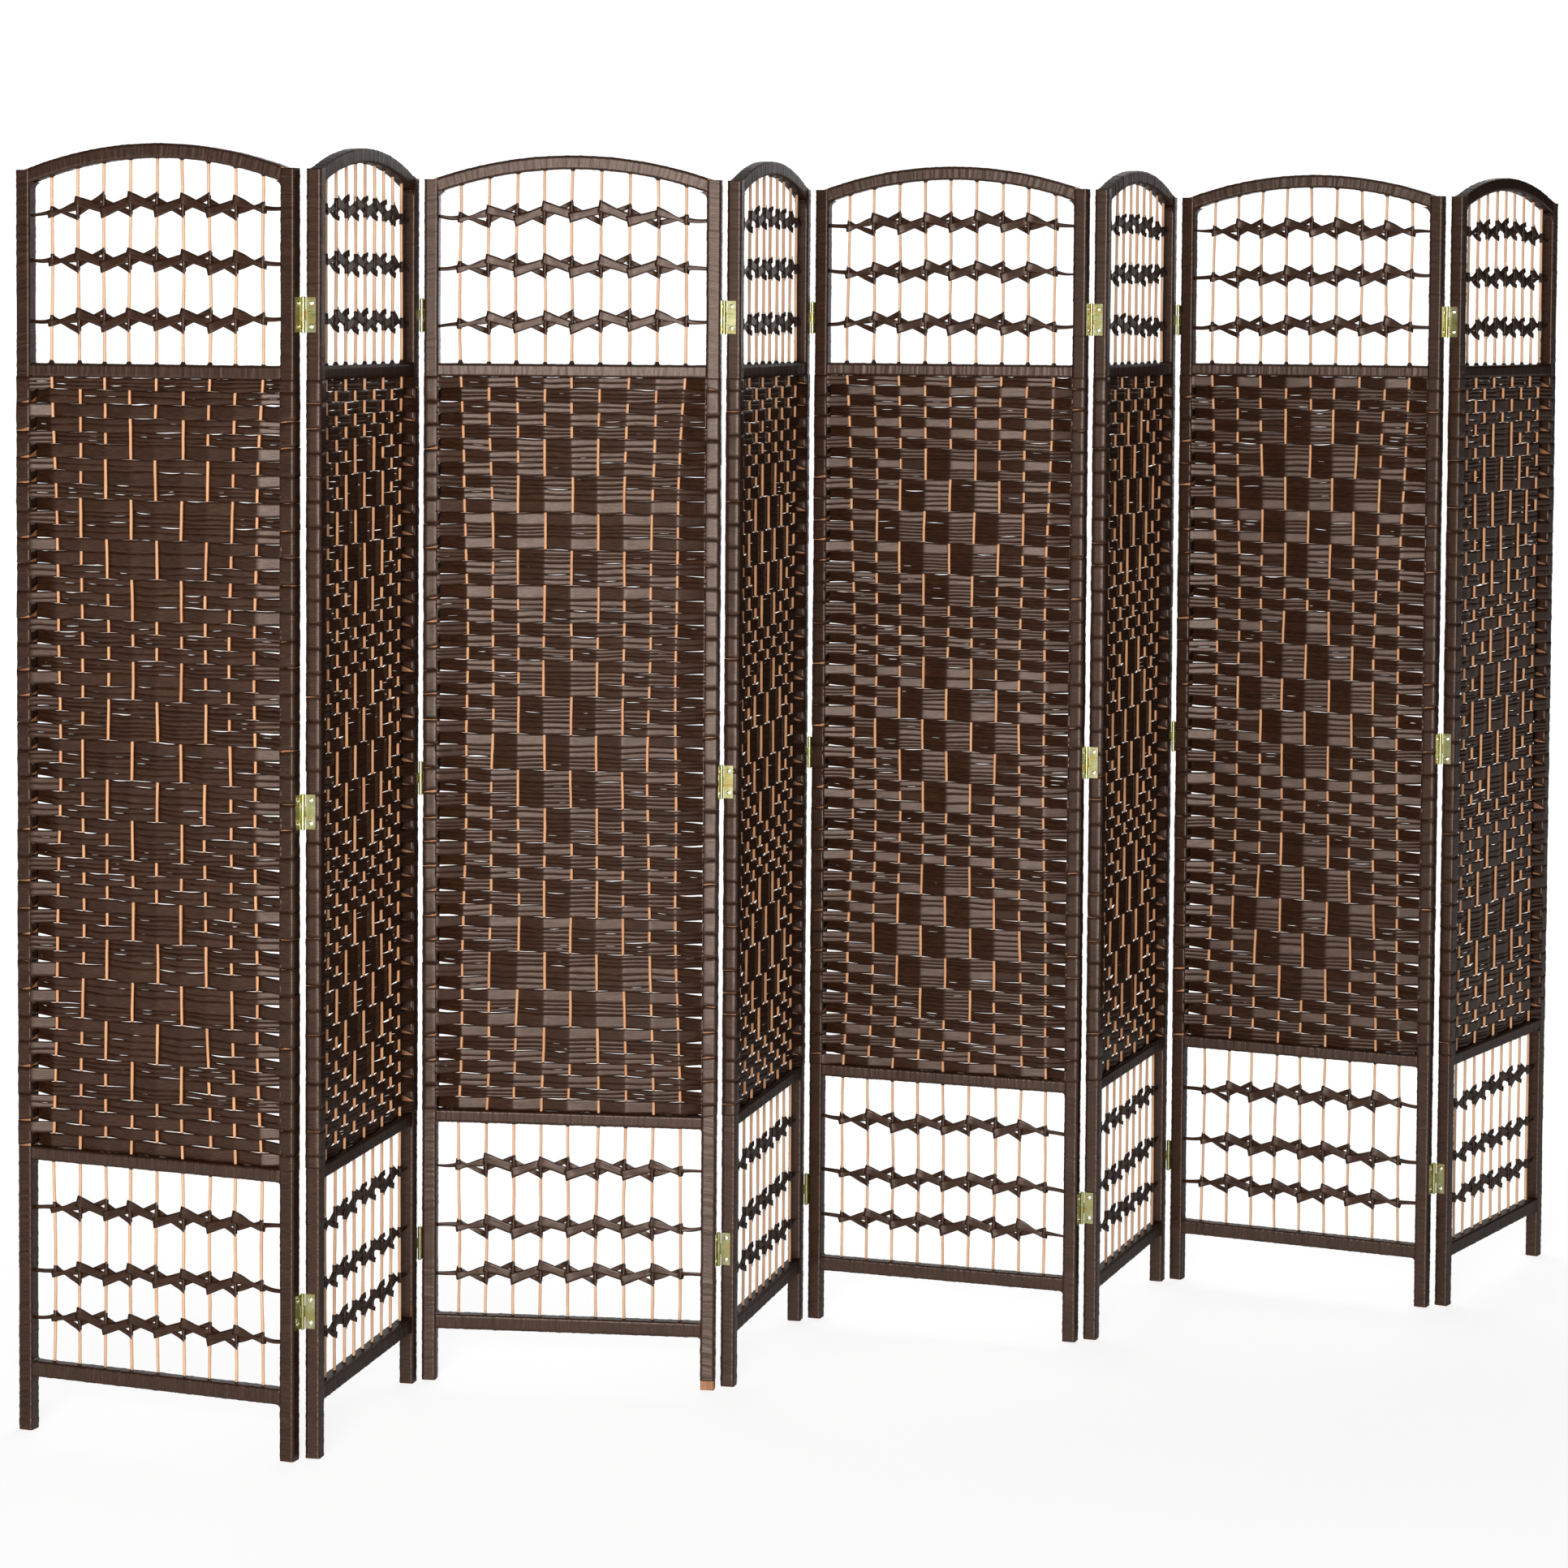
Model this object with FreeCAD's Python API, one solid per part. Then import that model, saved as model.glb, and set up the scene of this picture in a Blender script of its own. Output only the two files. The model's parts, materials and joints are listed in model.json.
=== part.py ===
import FreeCAD, Part
import math
import os

# Folding screen of eight panels that stand in a zigzag on a floor at Z = 0.
# X runs along the screen, the front faces -Y, and the origin is under the middle of the whole.
# A panel is drawn flat in its own frame: X along its width from its left edge,
# Y through its thickness with 0 in the middle, and Z up.

Vector = FreeCAD.Vector

# The way each panel runs when the screen stands, in degrees from X, left to right
panel_headings = (-48, 51, -33, 50, -46, 44.5, -52, 33.5)

# Frame battens, wrapped size
panel_width = 410
stile_side = 19
stile_height = 1666
rail_depth = 17
cross_rail_height = 17
bottom_rail_height = 20
batten_edge_radius = 2.5

# Tops of the rails, below the top of the stiles
upper_rail_drop = 252
lower_rail_drop = 1286
bottom_rail_drop = 1573

# Arched top rail
arch_thickness = 18
arch_rise = 33
arch_shoulder = 11

# Upright canes
cane_count = 9
cane_radius = 2
cane_margin = 30
cane_socket = 6
cane_hole_clearance = 0.1

# Woven field: rows of ribbon, and the first row of each stepped diamond, for each panel
weave_rows = (58, 65, 60, 66, 67, 60, 60, 58)
diamond_starts = (
    (4, 22, 40),
    (6, 26, 46),
    (6, 24, 42),
    (9, 27, 47),
    (8, 28, 48),
    (4, 24, 42),
    (4, 22, 42),
    (5, 23, 41),
)
diamond_reaches = (1, 2, 3, 2, 1)
diamond_step = 3
ribbon_thickness = 1
ribbon_cane_gap = 0.5
field_top_gap = 2.5
field_bottom_gap = 1
ribbon_stile_inset = 3.2

# Accent bands of two twined ribbons, at heights above the upper rail and below the lower rail
upper_accent_heights = (58, 134, 200)
lower_accent_drops = (61, 143, 208)
accent_lift = 9
accent_half_height = 7
accent_end_lift = 4
accent_end_half_height = 3.5
accent_end_reach = 2.5
accent_tail_half_height = 1.25
accent_tail_drop = 3
top_accent_bow = 9

# Butt hinges
hinge_heights = (193, 842, 1480)
hinge_height = 45
leaf_width = 16
leaf_thickness = 1.2
knuckle_radius = 2.75
knuckle_count = 3
knuckle_gap = 0.4
knuckle_clearance = 0.4
pin_radius = 1.4
pin_clearance = 0.05
pin_face_gap = 0.25
pin_head_radius = 2.2
pin_head_height = 0.8
pin_head_gap = 0.3

# Hinge screws
screw_radius = 1.5
screw_length = 12
screw_clearance = 0.05
screw_head_radius = 2.8
screw_head_rim = 0.4
screw_head_height = 1
screw_spacing = 30
screw_inset = 10
recess_length = 3
recess_width = 0.7
recess_depth = 0.6

# Cuts run this far past what they cut
cut_overrun = 1

# Worked-out places in a panel
half_stile = stile_side / 2
inner_width = panel_width - 2 * stile_side
middle = panel_width / 2
cane_spacing = (inner_width - 2 * cane_margin) / (cane_count - 1)
cane_places = [stile_side + cane_margin + cane_spacing * n for n in range(cane_count)]
upper_rail_bottom = stile_height - upper_rail_drop - cross_rail_height
lower_rail_top = stile_height - lower_rail_drop
bottom_rail_top = stile_height - bottom_rail_drop
ribbon_offset = cane_radius + ribbon_cane_gap + ribbon_thickness / 2
pin_offset = half_stile + knuckle_radius + pin_face_gap

# The arch's outer edge starts on the stile tops and its inner edge follows at the arch's thickness
arch_half_span = middle - arch_shoulder
arch_outer_radius = (arch_half_span**2 + arch_rise**2) / (2 * arch_rise)
arch_inner_radius = arch_outer_radius - arch_thickness
arch_crown = stile_height + arch_rise
arch_centre_height = arch_crown - arch_outer_radius


def block(x0, x1, y0, y1, z0, z1):
    low = Vector(min(x0, x1), min(y0, y1), min(z0, z1))
    high = Vector(max(x0, x1), max(y0, y1), max(z0, z1))
    size = high - low
    return Part.makeBox(size.x, size.y, size.z, low)


def rounded_along(solid, axis, radius):
    """Rounds the straight edges that run along an axis."""
    edges = [e for e in solid.Edges if abs(abs(e.tangentAt(e.FirstParameter).dot(axis)) - 1) < 1e-6]
    return solid.makeFillet(radius, edges)


def screw_places():
    """Heights of the screws up a stile that carries hinges."""
    return [h + side * screw_spacing / 2 for h in hinge_heights for side in (-1, 1)]


def over_stile(left):
    """The room over a stile: its top is level at first and then rises to meet the arch."""
    meeting = arch_height(stile_side, arch_outer_radius)
    slope = (meeting - stile_height) / (stile_side - arch_shoulder)
    past = stile_side + cut_overrun
    line = [
        (-cut_overrun, stile_height),
        (arch_shoulder, stile_height),
        (past, meeting + slope * cut_overrun),
        (past, arch_crown),
        (-cut_overrun, arch_crown),
    ]
    corners = [Vector(x if left else panel_width - x, -stile_side, z) for x, z in line]
    return Part.Face(Part.makePolygon(corners + corners[:1])).extrude(Vector(0, 2 * stile_side, 0))


def stile(left, pin_side):
    """A stile at the left or right edge; pin_side is the face its hinges fold to, or 0 without hinges."""
    x0 = 0 if left else panel_width - stile_side
    top = (stile_height + arch_crown) / 2
    solid = block(x0, x0 + stile_side, -half_stile, half_stile, 0, top)
    solid = rounded_along(solid, Vector(0, 0, 1), batten_edge_radius).cut(over_stile(left))
    if not pin_side:
        return solid
    inward = Vector(1, 0, 0) if left else Vector(-1, 0, 0)
    edge = 0 if left else panel_width
    y = pin_side * (pin_offset - screw_inset)
    depth = screw_length - leaf_thickness + cut_overrun
    radius = screw_radius + screw_clearance
    holes = []
    for z in screw_places():
        start = Vector(edge, y, z) - inward * cut_overrun
        holes.append(Part.makeCylinder(radius, depth + cut_overrun, start, inward))
    return solid.cut(Part.makeCompound(holes))


def cross_rail(top, height):
    """A straight rail between the stiles."""
    half_depth = rail_depth / 2
    solid = block(stile_side, panel_width - stile_side, -half_depth, half_depth, top - height, top)
    return rounded_along(solid, Vector(1, 0, 0), batten_edge_radius)


def cane_holes(bottom, top):
    """The room for all the canes in a straight rail, between two heights."""
    radius = cane_radius + cane_hole_clearance
    up = Vector(0, 0, 1)
    return Part.makeCompound(
        [Part.makeCylinder(radius, top - bottom, Vector(x, 0, bottom), up) for x in cane_places]
    )


def through_rail(top, height):
    """A cross rail that the canes run through."""
    holes = cane_holes(top - height - cut_overrun, top + cut_overrun)
    return cross_rail(top, height).cut(holes)


def bottom_rail():
    """The rail between the legs, with sockets for the canes' lower ends."""
    solid = cross_rail(bottom_rail_top, bottom_rail_height)
    return solid.cut(cane_holes(bottom_rail_top - cane_socket, bottom_rail_top + cut_overrun))


def arch_height(x, radius):
    """Height of an edge of the arch at a place across the panel."""
    return arch_centre_height + math.sqrt(radius**2 - (x - middle) ** 2)


def cane_top(x):
    return arch_height(x, arch_inner_radius) + cane_socket


def arch():
    """The bent top rail, between the stiles."""
    half_depth = rail_depth / 2
    ends = (stile_side, panel_width - stile_side)

    def arc(radius):
        left, right = [Vector(x, -half_depth, arch_height(x, radius)) for x in ends]
        crown = Vector(middle, -half_depth, arch_height(middle, radius))
        return left, right, Part.Arc(left, crown, right).toShape()

    outer_left, outer_right, outer = arc(arch_outer_radius)
    inner_left, inner_right, inner = arc(arch_inner_radius)
    sides = [Part.makeLine(outer_right, inner_right), Part.makeLine(inner_left, outer_left)]
    outline = Part.Wire(Part.__sortEdges__([outer, sides[0], inner, sides[1]]))
    solid = Part.Face(outline).extrude(Vector(0, rail_depth, 0))
    rims = [e for e in solid.Edges if e.Curve.TypeId == "Part::GeomCircle"]
    solid = solid.makeFillet(batten_edge_radius, rims)
    radius = cane_radius + cane_hole_clearance
    up = Vector(0, 0, 1)
    holes = []
    for x in cane_places:
        start = arch_height(x, arch_inner_radius) - 2 * cut_overrun
        holes.append(Part.makeCylinder(radius, cane_top(x) - start, Vector(x, 0, start), up))
    return solid.cut(Part.makeCompound(holes))


def canes():
    bottom = bottom_rail_top - cane_socket
    up = Vector(0, 0, 1)
    return [
        Part.makeCylinder(cane_radius, cane_top(x) - bottom, Vector(x, 0, bottom), up)
        for x in cane_places
    ]


def weft_behind(row, cane, starts):
    """True where the ribbon of a row passes behind a cane, which then shows from the front."""
    behind = (cane + row - starts[0]) % 2 == 0
    centre = (cane_count + 1) // 2
    for start in starts:
        for n, reach in enumerate(diamond_reaches):
            if row == start + 1 + n * diamond_step and abs(cane - centre) <= reach:
                return not behind
    return behind


def weave_row(row, starts, bottom, top):
    """One row of flat ribbon, bent in front of and behind the canes, from stile to stile."""
    stile_offset = half_stile - ribbon_stile_inset
    line = []
    places = [stile_side] + cane_places + [panel_width - stile_side]
    for cane, x in enumerate(places):
        at_stile = cane in (0, cane_count + 1)
        offset = stile_offset if at_stile else ribbon_offset
        line.append((x, offset if weft_behind(row, cane, starts) else -offset))
    half = ribbon_thickness / 2
    front = [Vector(x, y - half, bottom) for x, y in line]
    back = [Vector(x, y + half, bottom) for x, y in line]
    outline = Part.makePolygon(front + back[::-1] + front[:1])
    return Part.Face(outline).extrude(Vector(0, 0, top - bottom))


def weave(rows, starts):
    """The woven field as one solid: each row rests on the next where their ribbons cross."""
    top = upper_rail_bottom - field_top_gap
    bottom = lower_rail_top + field_bottom_gap
    pitch = (top - bottom) / rows
    ribbons = []
    for n in range(rows):
        ribbons.append(weave_row(n + 1, starts, top - (n + 1) * pitch, top - n * pitch))
    return ribbons[0].multiFuse(ribbons[1:])


def ribbon_piece(start, end):
    """A straight length of accent ribbon between two places, each (x, y, z, half height)."""
    half = ribbon_thickness / 2
    corners = []
    for (x, y, z, high), sides in ((start, (-1, 1)), (end, (1, -1))):
        corners += [Vector(x, y - half, z + side * high) for side in sides]
    return Part.Face(Part.makePolygon(corners + corners[:1])).extrude(Vector(0, ribbon_thickness, 0))


def accent(bow):
    """Two ribbons that cross between the canes and part round each one, with a tail to each stile."""

    def rise(x):
        return bow * (1 - ((x - middle) / middle) ** 2)

    pieces = []
    for first in (1, -1):
        line = []
        for n, x in enumerate(cane_places):
            end = n in (0, cane_count - 1)
            lift = accent_end_lift if end else accent_lift
            high = accent_end_half_height if end else accent_half_height
            side = first if n % 2 == 0 else -first
            line.append((x, -side * ribbon_offset, rise(x) + side * lift, high))
        x, y, z, high = line[0]
        line.insert(0, (x - accent_end_reach, y, z, high))
        x, y, z, high = line[-1]
        line.append((x + accent_end_reach, y, z, high))
        pieces += [ribbon_piece(a, b) for a, b in zip(line, line[1:])]
        if first == 1:
            for x, y, z, high in (line[0], line[-1]):
                edge = stile_side if x < middle else panel_width - stile_side
                tail = (x, y, z, accent_tail_half_height)
                at_stile = (edge, 0, rise(x) - accent_tail_drop, accent_tail_half_height)
                pieces.append(ribbon_piece(*sorted((tail, at_stile))))
    return pieces[0].multiFuse(pieces[1:]).removeSplitter()


def accents():
    bowed = accent(top_accent_bow)
    straight = accent(0)
    highest = max(upper_accent_heights)
    upper_top = stile_height - upper_rail_drop
    lower_bottom = lower_rail_top - cross_rail_height
    solids = []
    for height in upper_accent_heights:
        solid = bowed if height == highest else straight
        solids.append(solid.translated(Vector(0, 0, upper_top + height)))
    for drop in lower_accent_drops:
        solids.append(straight.translated(Vector(0, 0, lower_bottom - drop)))
    return solids


def knuckle_spans(outer):
    """Heights of a leaf's knuckles in the hinge: the outer ones, or those between them."""
    step = hinge_height / knuckle_count
    spans = []
    for n in range(knuckle_count):
        if (n % 2 == 0) == outer:
            low = n * step + (knuckle_gap / 2 if n else 0)
            high = (n + 1) * step - (knuckle_gap / 2 if n < knuckle_count - 1 else 0)
            spans.append((low - hinge_height / 2, high - hinge_height / 2))
    return spans


def leaf(left, pin_side, outer, height):
    """A hinge leaf on a stile's edge face, with its knuckles round the pin."""
    outward = -1 if left else 1
    edge = 0 if left else panel_width
    half = hinge_height / 2
    axis_x = edge + outward * knuckle_radius
    axis_y = pin_side * pin_offset
    face = edge + outward * leaf_thickness
    # the plate starts inside its barrels, a leaf's thickness from the pin's axis
    start_y = axis_y - pin_side * leaf_thickness
    plate = block(edge, face, start_y, axis_y - pin_side * leaf_width, height - half, height + half)
    notch = axis_y - pin_side * (knuckle_radius + knuckle_clearance)
    past = axis_y + pin_side * cut_overrun
    for low, high in knuckle_spans(not outer):
        low -= knuckle_gap
        high += knuckle_gap
        beyond = edge + outward * (leaf_thickness + cut_overrun)
        before = edge - outward * cut_overrun
        plate = plate.cut(block(before, beyond, past, notch, height + low, height + high))
    up = Vector(0, 0, 1)
    bore_radius = pin_radius + (pin_clearance if outer else 0)
    barrels = []
    bores = []
    for low, high in knuckle_spans(outer):
        base = Vector(axis_x, axis_y, height + low)
        barrels.append(Part.makeCylinder(knuckle_radius, high - low, base, up))
        below = base - up * cut_overrun
        bores.append(Part.makeCylinder(bore_radius, high - low + 2 * cut_overrun, below, up))
    holes = []
    y = pin_side * (pin_offset - screw_inset)
    for side in (-1, 1):
        start = Vector(edge - outward * cut_overrun, y, height + side * screw_spacing / 2)
        length = leaf_thickness + 2 * cut_overrun
        radius = screw_radius + screw_clearance
        holes.append(Part.makeCylinder(radius, length, start, Vector(outward, 0, 0)))
    return plate.multiFuse(barrels).cut(Part.makeCompound(bores + holes))


def screw(left, pin_side, height):
    """A round-headed screw with a cross recess, through a leaf into the stile's edge."""
    rim = Part.makeCylinder(screw_head_radius, screw_head_rim)
    dome_height = screw_head_height - screw_head_rim
    dome_radius = (screw_head_radius**2 + dome_height**2) / (2 * dome_height)
    ball = Part.makeSphere(dome_radius, Vector(0, 0, screw_head_height - dome_radius))
    upper_side = Part.makeCylinder(
        screw_head_radius + cut_overrun, screw_head_height, Vector(0, 0, screw_head_rim)
    )
    shank = Part.makeCylinder(screw_radius, screw_length, Vector(0, 0, -screw_length))
    solid = rim.multiFuse([ball.common(upper_side), shank])
    half_length = recess_length / 2
    half_width = recess_width / 2
    floor = screw_head_height - recess_depth
    top = screw_head_height + cut_overrun
    for x, y in ((half_length, half_width), (half_width, half_length)):
        solid = solid.cut(block(-x, x, -y, y, floor, top))
    outward = -1 if left else 1
    edge = 0 if left else panel_width
    turn = FreeCAD.Rotation(Vector(0, 0, 1), Vector(outward, 0, 0))
    place = Vector(edge + outward * leaf_thickness, pin_side * (pin_offset - screw_inset), height)
    solid.Placement = FreeCAD.Placement(place, turn)
    return solid


def pin(left, pin_side, height):
    """A hinge pin with a head at each end."""
    outward = -1 if left else 1
    edge = 0 if left else panel_width
    axis = Vector(edge + outward * knuckle_radius, pin_side * pin_offset, height)
    up = Vector(0, 0, 1)
    half = hinge_height / 2 + pin_head_gap
    shaft = Part.makeCylinder(pin_radius, 2 * half, axis - up * half, up)
    top = Part.makeCylinder(pin_head_radius, pin_head_height, axis + up * half, up)
    bottom = Part.makeCylinder(pin_head_radius, pin_head_height, axis - up * half, up * -1)
    return shaft.multiFuse([top, bottom])


def panel_placements():
    """Places each panel so that its left hinge pins fall on the right hinge pins of the one before."""
    placements = []
    base = Vector(0, 0, 0)
    for n, heading in enumerate(panel_headings):
        turn = FreeCAD.Rotation(Vector(0, 0, 1), heading)
        if n:
            side = pin_sides(n)[0]
            own = Vector(-knuckle_radius, side * pin_offset, 0)
            base = meeting - turn.multVec(own)
        side = pin_sides(n)[1]
        far = Vector(panel_width + knuckle_radius, side * pin_offset, 0)
        meeting = base + turn.multVec(far)
        placements.append(FreeCAD.Placement(base, turn))
    return placements


def pin_sides(n):
    """The faces that a panel's left and right hinges fold to: 1 back, -1 front, 0 no hinges."""
    right = 1 if n % 2 == 0 else -1
    last = len(panel_headings) - 1
    return (-right if n else 0, right if n < last else 0)


def panel_nodes(n, shared):
    """The solids of one panel, drawn flat, by node name."""
    left_side, right_side = pin_sides(n)
    outer = n % 2 == 0
    hinges = [(True, left_side)] if left_side else []
    if right_side:
        hinges.append((False, right_side))
    places = [(left, side, height) for left, side in hinges for height in hinge_heights]
    fixings = [(left, side, height) for left, side in hinges for height in screw_places()]
    nodes = dict(shared)
    nodes["frame"] = [stile(True, left_side), stile(False, right_side)] + shared["frame"]
    nodes["weave"] = [weave(weave_rows[n], diamond_starts[n])]
    nodes["leaves"] = [leaf(left, side, outer, height) for left, side, height in places]
    nodes["screws"] = [screw(left, side, height) for left, side, height in fixings]
    if not outer:
        nodes["pins"] = [pin(left, side, height) for left, side, height in places]
    return nodes


def screen():
    """Every solid in its place, by node name, with the origin under the middle of the whole."""
    shared = {
        "frame": [
            through_rail(stile_height - upper_rail_drop, cross_rail_height),
            through_rail(lower_rail_top, cross_rail_height),
            bottom_rail(),
        ],
        "arch": [arch()],
        "canes": canes(),
        "accents": accents(),
    }
    made = {}
    for n, place in enumerate(panel_placements()):
        for name, solids in panel_nodes(n, shared).items():
            group = Part.makeCompound([s.copy() for s in solids])
            group.Placement = place
            made[f"{name}_{n + 1}"] = group
    box = FreeCAD.BoundBox()
    for group in made.values():
        box.add(group.optimalBoundingBox(False))
    shift = Vector(-box.Center.x, -box.Center.y, 0)
    for group in made.values():
        group.translate(shift)
    return made


os.makedirs("parts", exist_ok=True)
for node, shape in screen().items():
    shape.exportStep(f"parts/{node}.step")
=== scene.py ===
import json
import math

import bpy
import numpy as np
from mathutils import Matrix, Vector


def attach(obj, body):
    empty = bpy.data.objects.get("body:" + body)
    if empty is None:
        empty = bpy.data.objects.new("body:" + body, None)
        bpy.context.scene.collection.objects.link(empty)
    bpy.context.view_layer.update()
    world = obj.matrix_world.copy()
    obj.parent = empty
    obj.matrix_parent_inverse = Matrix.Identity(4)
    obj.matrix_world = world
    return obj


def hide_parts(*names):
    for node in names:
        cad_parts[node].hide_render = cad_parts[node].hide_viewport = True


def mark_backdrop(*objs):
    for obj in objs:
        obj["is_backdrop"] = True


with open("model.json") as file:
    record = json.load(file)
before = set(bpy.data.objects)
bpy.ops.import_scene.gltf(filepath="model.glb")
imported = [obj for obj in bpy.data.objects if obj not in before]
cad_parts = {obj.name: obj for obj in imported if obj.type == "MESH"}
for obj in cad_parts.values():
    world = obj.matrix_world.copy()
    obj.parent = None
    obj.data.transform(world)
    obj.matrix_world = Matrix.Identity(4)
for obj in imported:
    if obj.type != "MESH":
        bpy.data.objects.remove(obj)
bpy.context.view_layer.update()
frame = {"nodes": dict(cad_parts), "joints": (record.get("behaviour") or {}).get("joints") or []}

# Sizes repeated from the part's source, in metres
HEADINGS = (-48, 51, -33, 50, -46, 44.5, -52, 33.5)
PANEL_WIDTH = 0.410
STILE = 0.019
HALF_STILE = STILE / 2
STILE_HEIGHT = 1.666
RAIL_DEPTH = 0.017
UPPER_RAIL_TOP = STILE_HEIGHT - 0.252
LOWER_RAIL_TOP = STILE_HEIGHT - 1.286
BOTTOM_RAIL_TOP = STILE_HEIGHT - 1.573
CROSS_RAIL_HEIGHT = 0.017
BOTTOM_RAIL_HEIGHT = 0.020
EDGE_RADIUS = 0.0025
ARCH_THICKNESS = 0.018
ARCH_RISE = 0.033
ARCH_SHOULDER = 0.011
CANE_COUNT = 9
CANE_RADIUS = 0.002
CANE_MARGIN = 0.030
CANE_SOCKET = 0.006
WEAVE_ROWS = (58, 65, 60, 66, 67, 60, 60, 58)
DIAMOND_STARTS = (
    (4, 22, 40), (6, 26, 46), (6, 24, 42), (9, 27, 47),
    (8, 28, 48), (4, 24, 42), (4, 22, 42), (5, 23, 41),
)
DIAMOND_REACHES = (1, 2, 3, 2, 1)
DIAMOND_STEP = 3
FIELD_GAP = 0.0003
FIELD_TOP = UPPER_RAIL_TOP - CROSS_RAIL_HEIGHT
FIELD_BOTTOM = LOWER_RAIL_TOP + FIELD_GAP
LOWER_OPEN_TOP = LOWER_RAIL_TOP - CROSS_RAIL_HEIGHT
UPPER_ACCENTS = (0.058, 0.134, 0.200)
LOWER_ACCENTS = (0.061, 0.143, 0.208)
HINGE_HEIGHTS = np.array([0.193, 0.842, 1.480])
HINGE_HEIGHT = 0.045
KNUCKLE_RADIUS = 0.00275
PIN_FACE_GAP = 0.00025
PIN_OFFSET = HALF_STILE + KNUCKLE_RADIUS + PIN_FACE_GAP

MIDDLE = PANEL_WIDTH / 2
MIDDLE_CANE = (CANE_COUNT + 1) // 2
LAST_POST = CANE_COUNT + 1
CANE_SPACING = (PANEL_WIDTH - 2 * STILE - 2 * CANE_MARGIN) / (CANE_COUNT - 1)
ARCH_HALF_SPAN = MIDDLE - ARCH_SHOULDER
ARCH_RADIUS = (ARCH_HALF_SPAN**2 + ARCH_RISE**2) / (2 * ARCH_RISE)
ARCH_INNER_RADIUS = ARCH_RADIUS - ARCH_THICKNESS
ARCH_CENTRE = STILE_HEIGHT + ARCH_RISE - ARCH_RADIUS
X_AXIS, Y_AXIS, Z_AXIS = np.eye(3)

# Ribbon, as it lies on the frame and round the canes
RIBBON_THICKNESS = 0.0007
RIBBON_OFFSET = 0.0030
CURL = 0.009
CURL_WAVES = (0.05, 0.13)
WRAP_PROUD = 0.0004
STILE_FACE = HALF_STILE + 0.0006
HINGE_MARGIN = 0.002

# Unevenness of handwork: lengths of waves in metres, and how far things stray
WAVE_SPREAD = (0.8, 1.25)
FIBRE_SHIFT = 5
SEED = 4100
# some panels are woven looser than others
LOOSENESS = (2.0, 1.6, 1.0, 0.9, 0.6, 0.9, 0.8, 1.7)
BOW = (0.009, 0.013)
BOW_POWER = 0.8
SWAY_WAVES, SWAY = (0.31, 0.62, 1.1), 0.0014
ROW_STRAY = 0.0011
ROW_WAVES, ROW_WANDER = (0.07, 0.16, 0.4), 0.0008
CALM_EDGE = 0.35


def waves(rng, lengths, height):
    """A smooth wandering line of about that height: a sum of waves with random phases."""
    parts = []
    for length in lengths:
        parts.append((2 * math.pi / (length * rng.uniform(*WAVE_SPREAD)), rng.uniform(0, 2 * math.pi)))
    share = height / math.sqrt(len(parts))
    return lambda x: share * sum(np.sin(np.asarray(x, float) * k + phase) for k, phase in parts)


def under_hinge(z):
    """True at the heights where a hinge lies on the ribbon."""
    away = np.abs(np.asarray(z, float)[..., None] - HINGE_HEIGHTS)
    return np.min(away, axis=-1) < HINGE_HEIGHT / 2 + HINGE_MARGIN


def arch_height(x, radius):
    """Height of the arch's edge of that radius, over a place along the panel."""
    return ARCH_CENTRE + np.sqrt(radius**2 - (np.asarray(x, float) - MIDDLE) ** 2)


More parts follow.
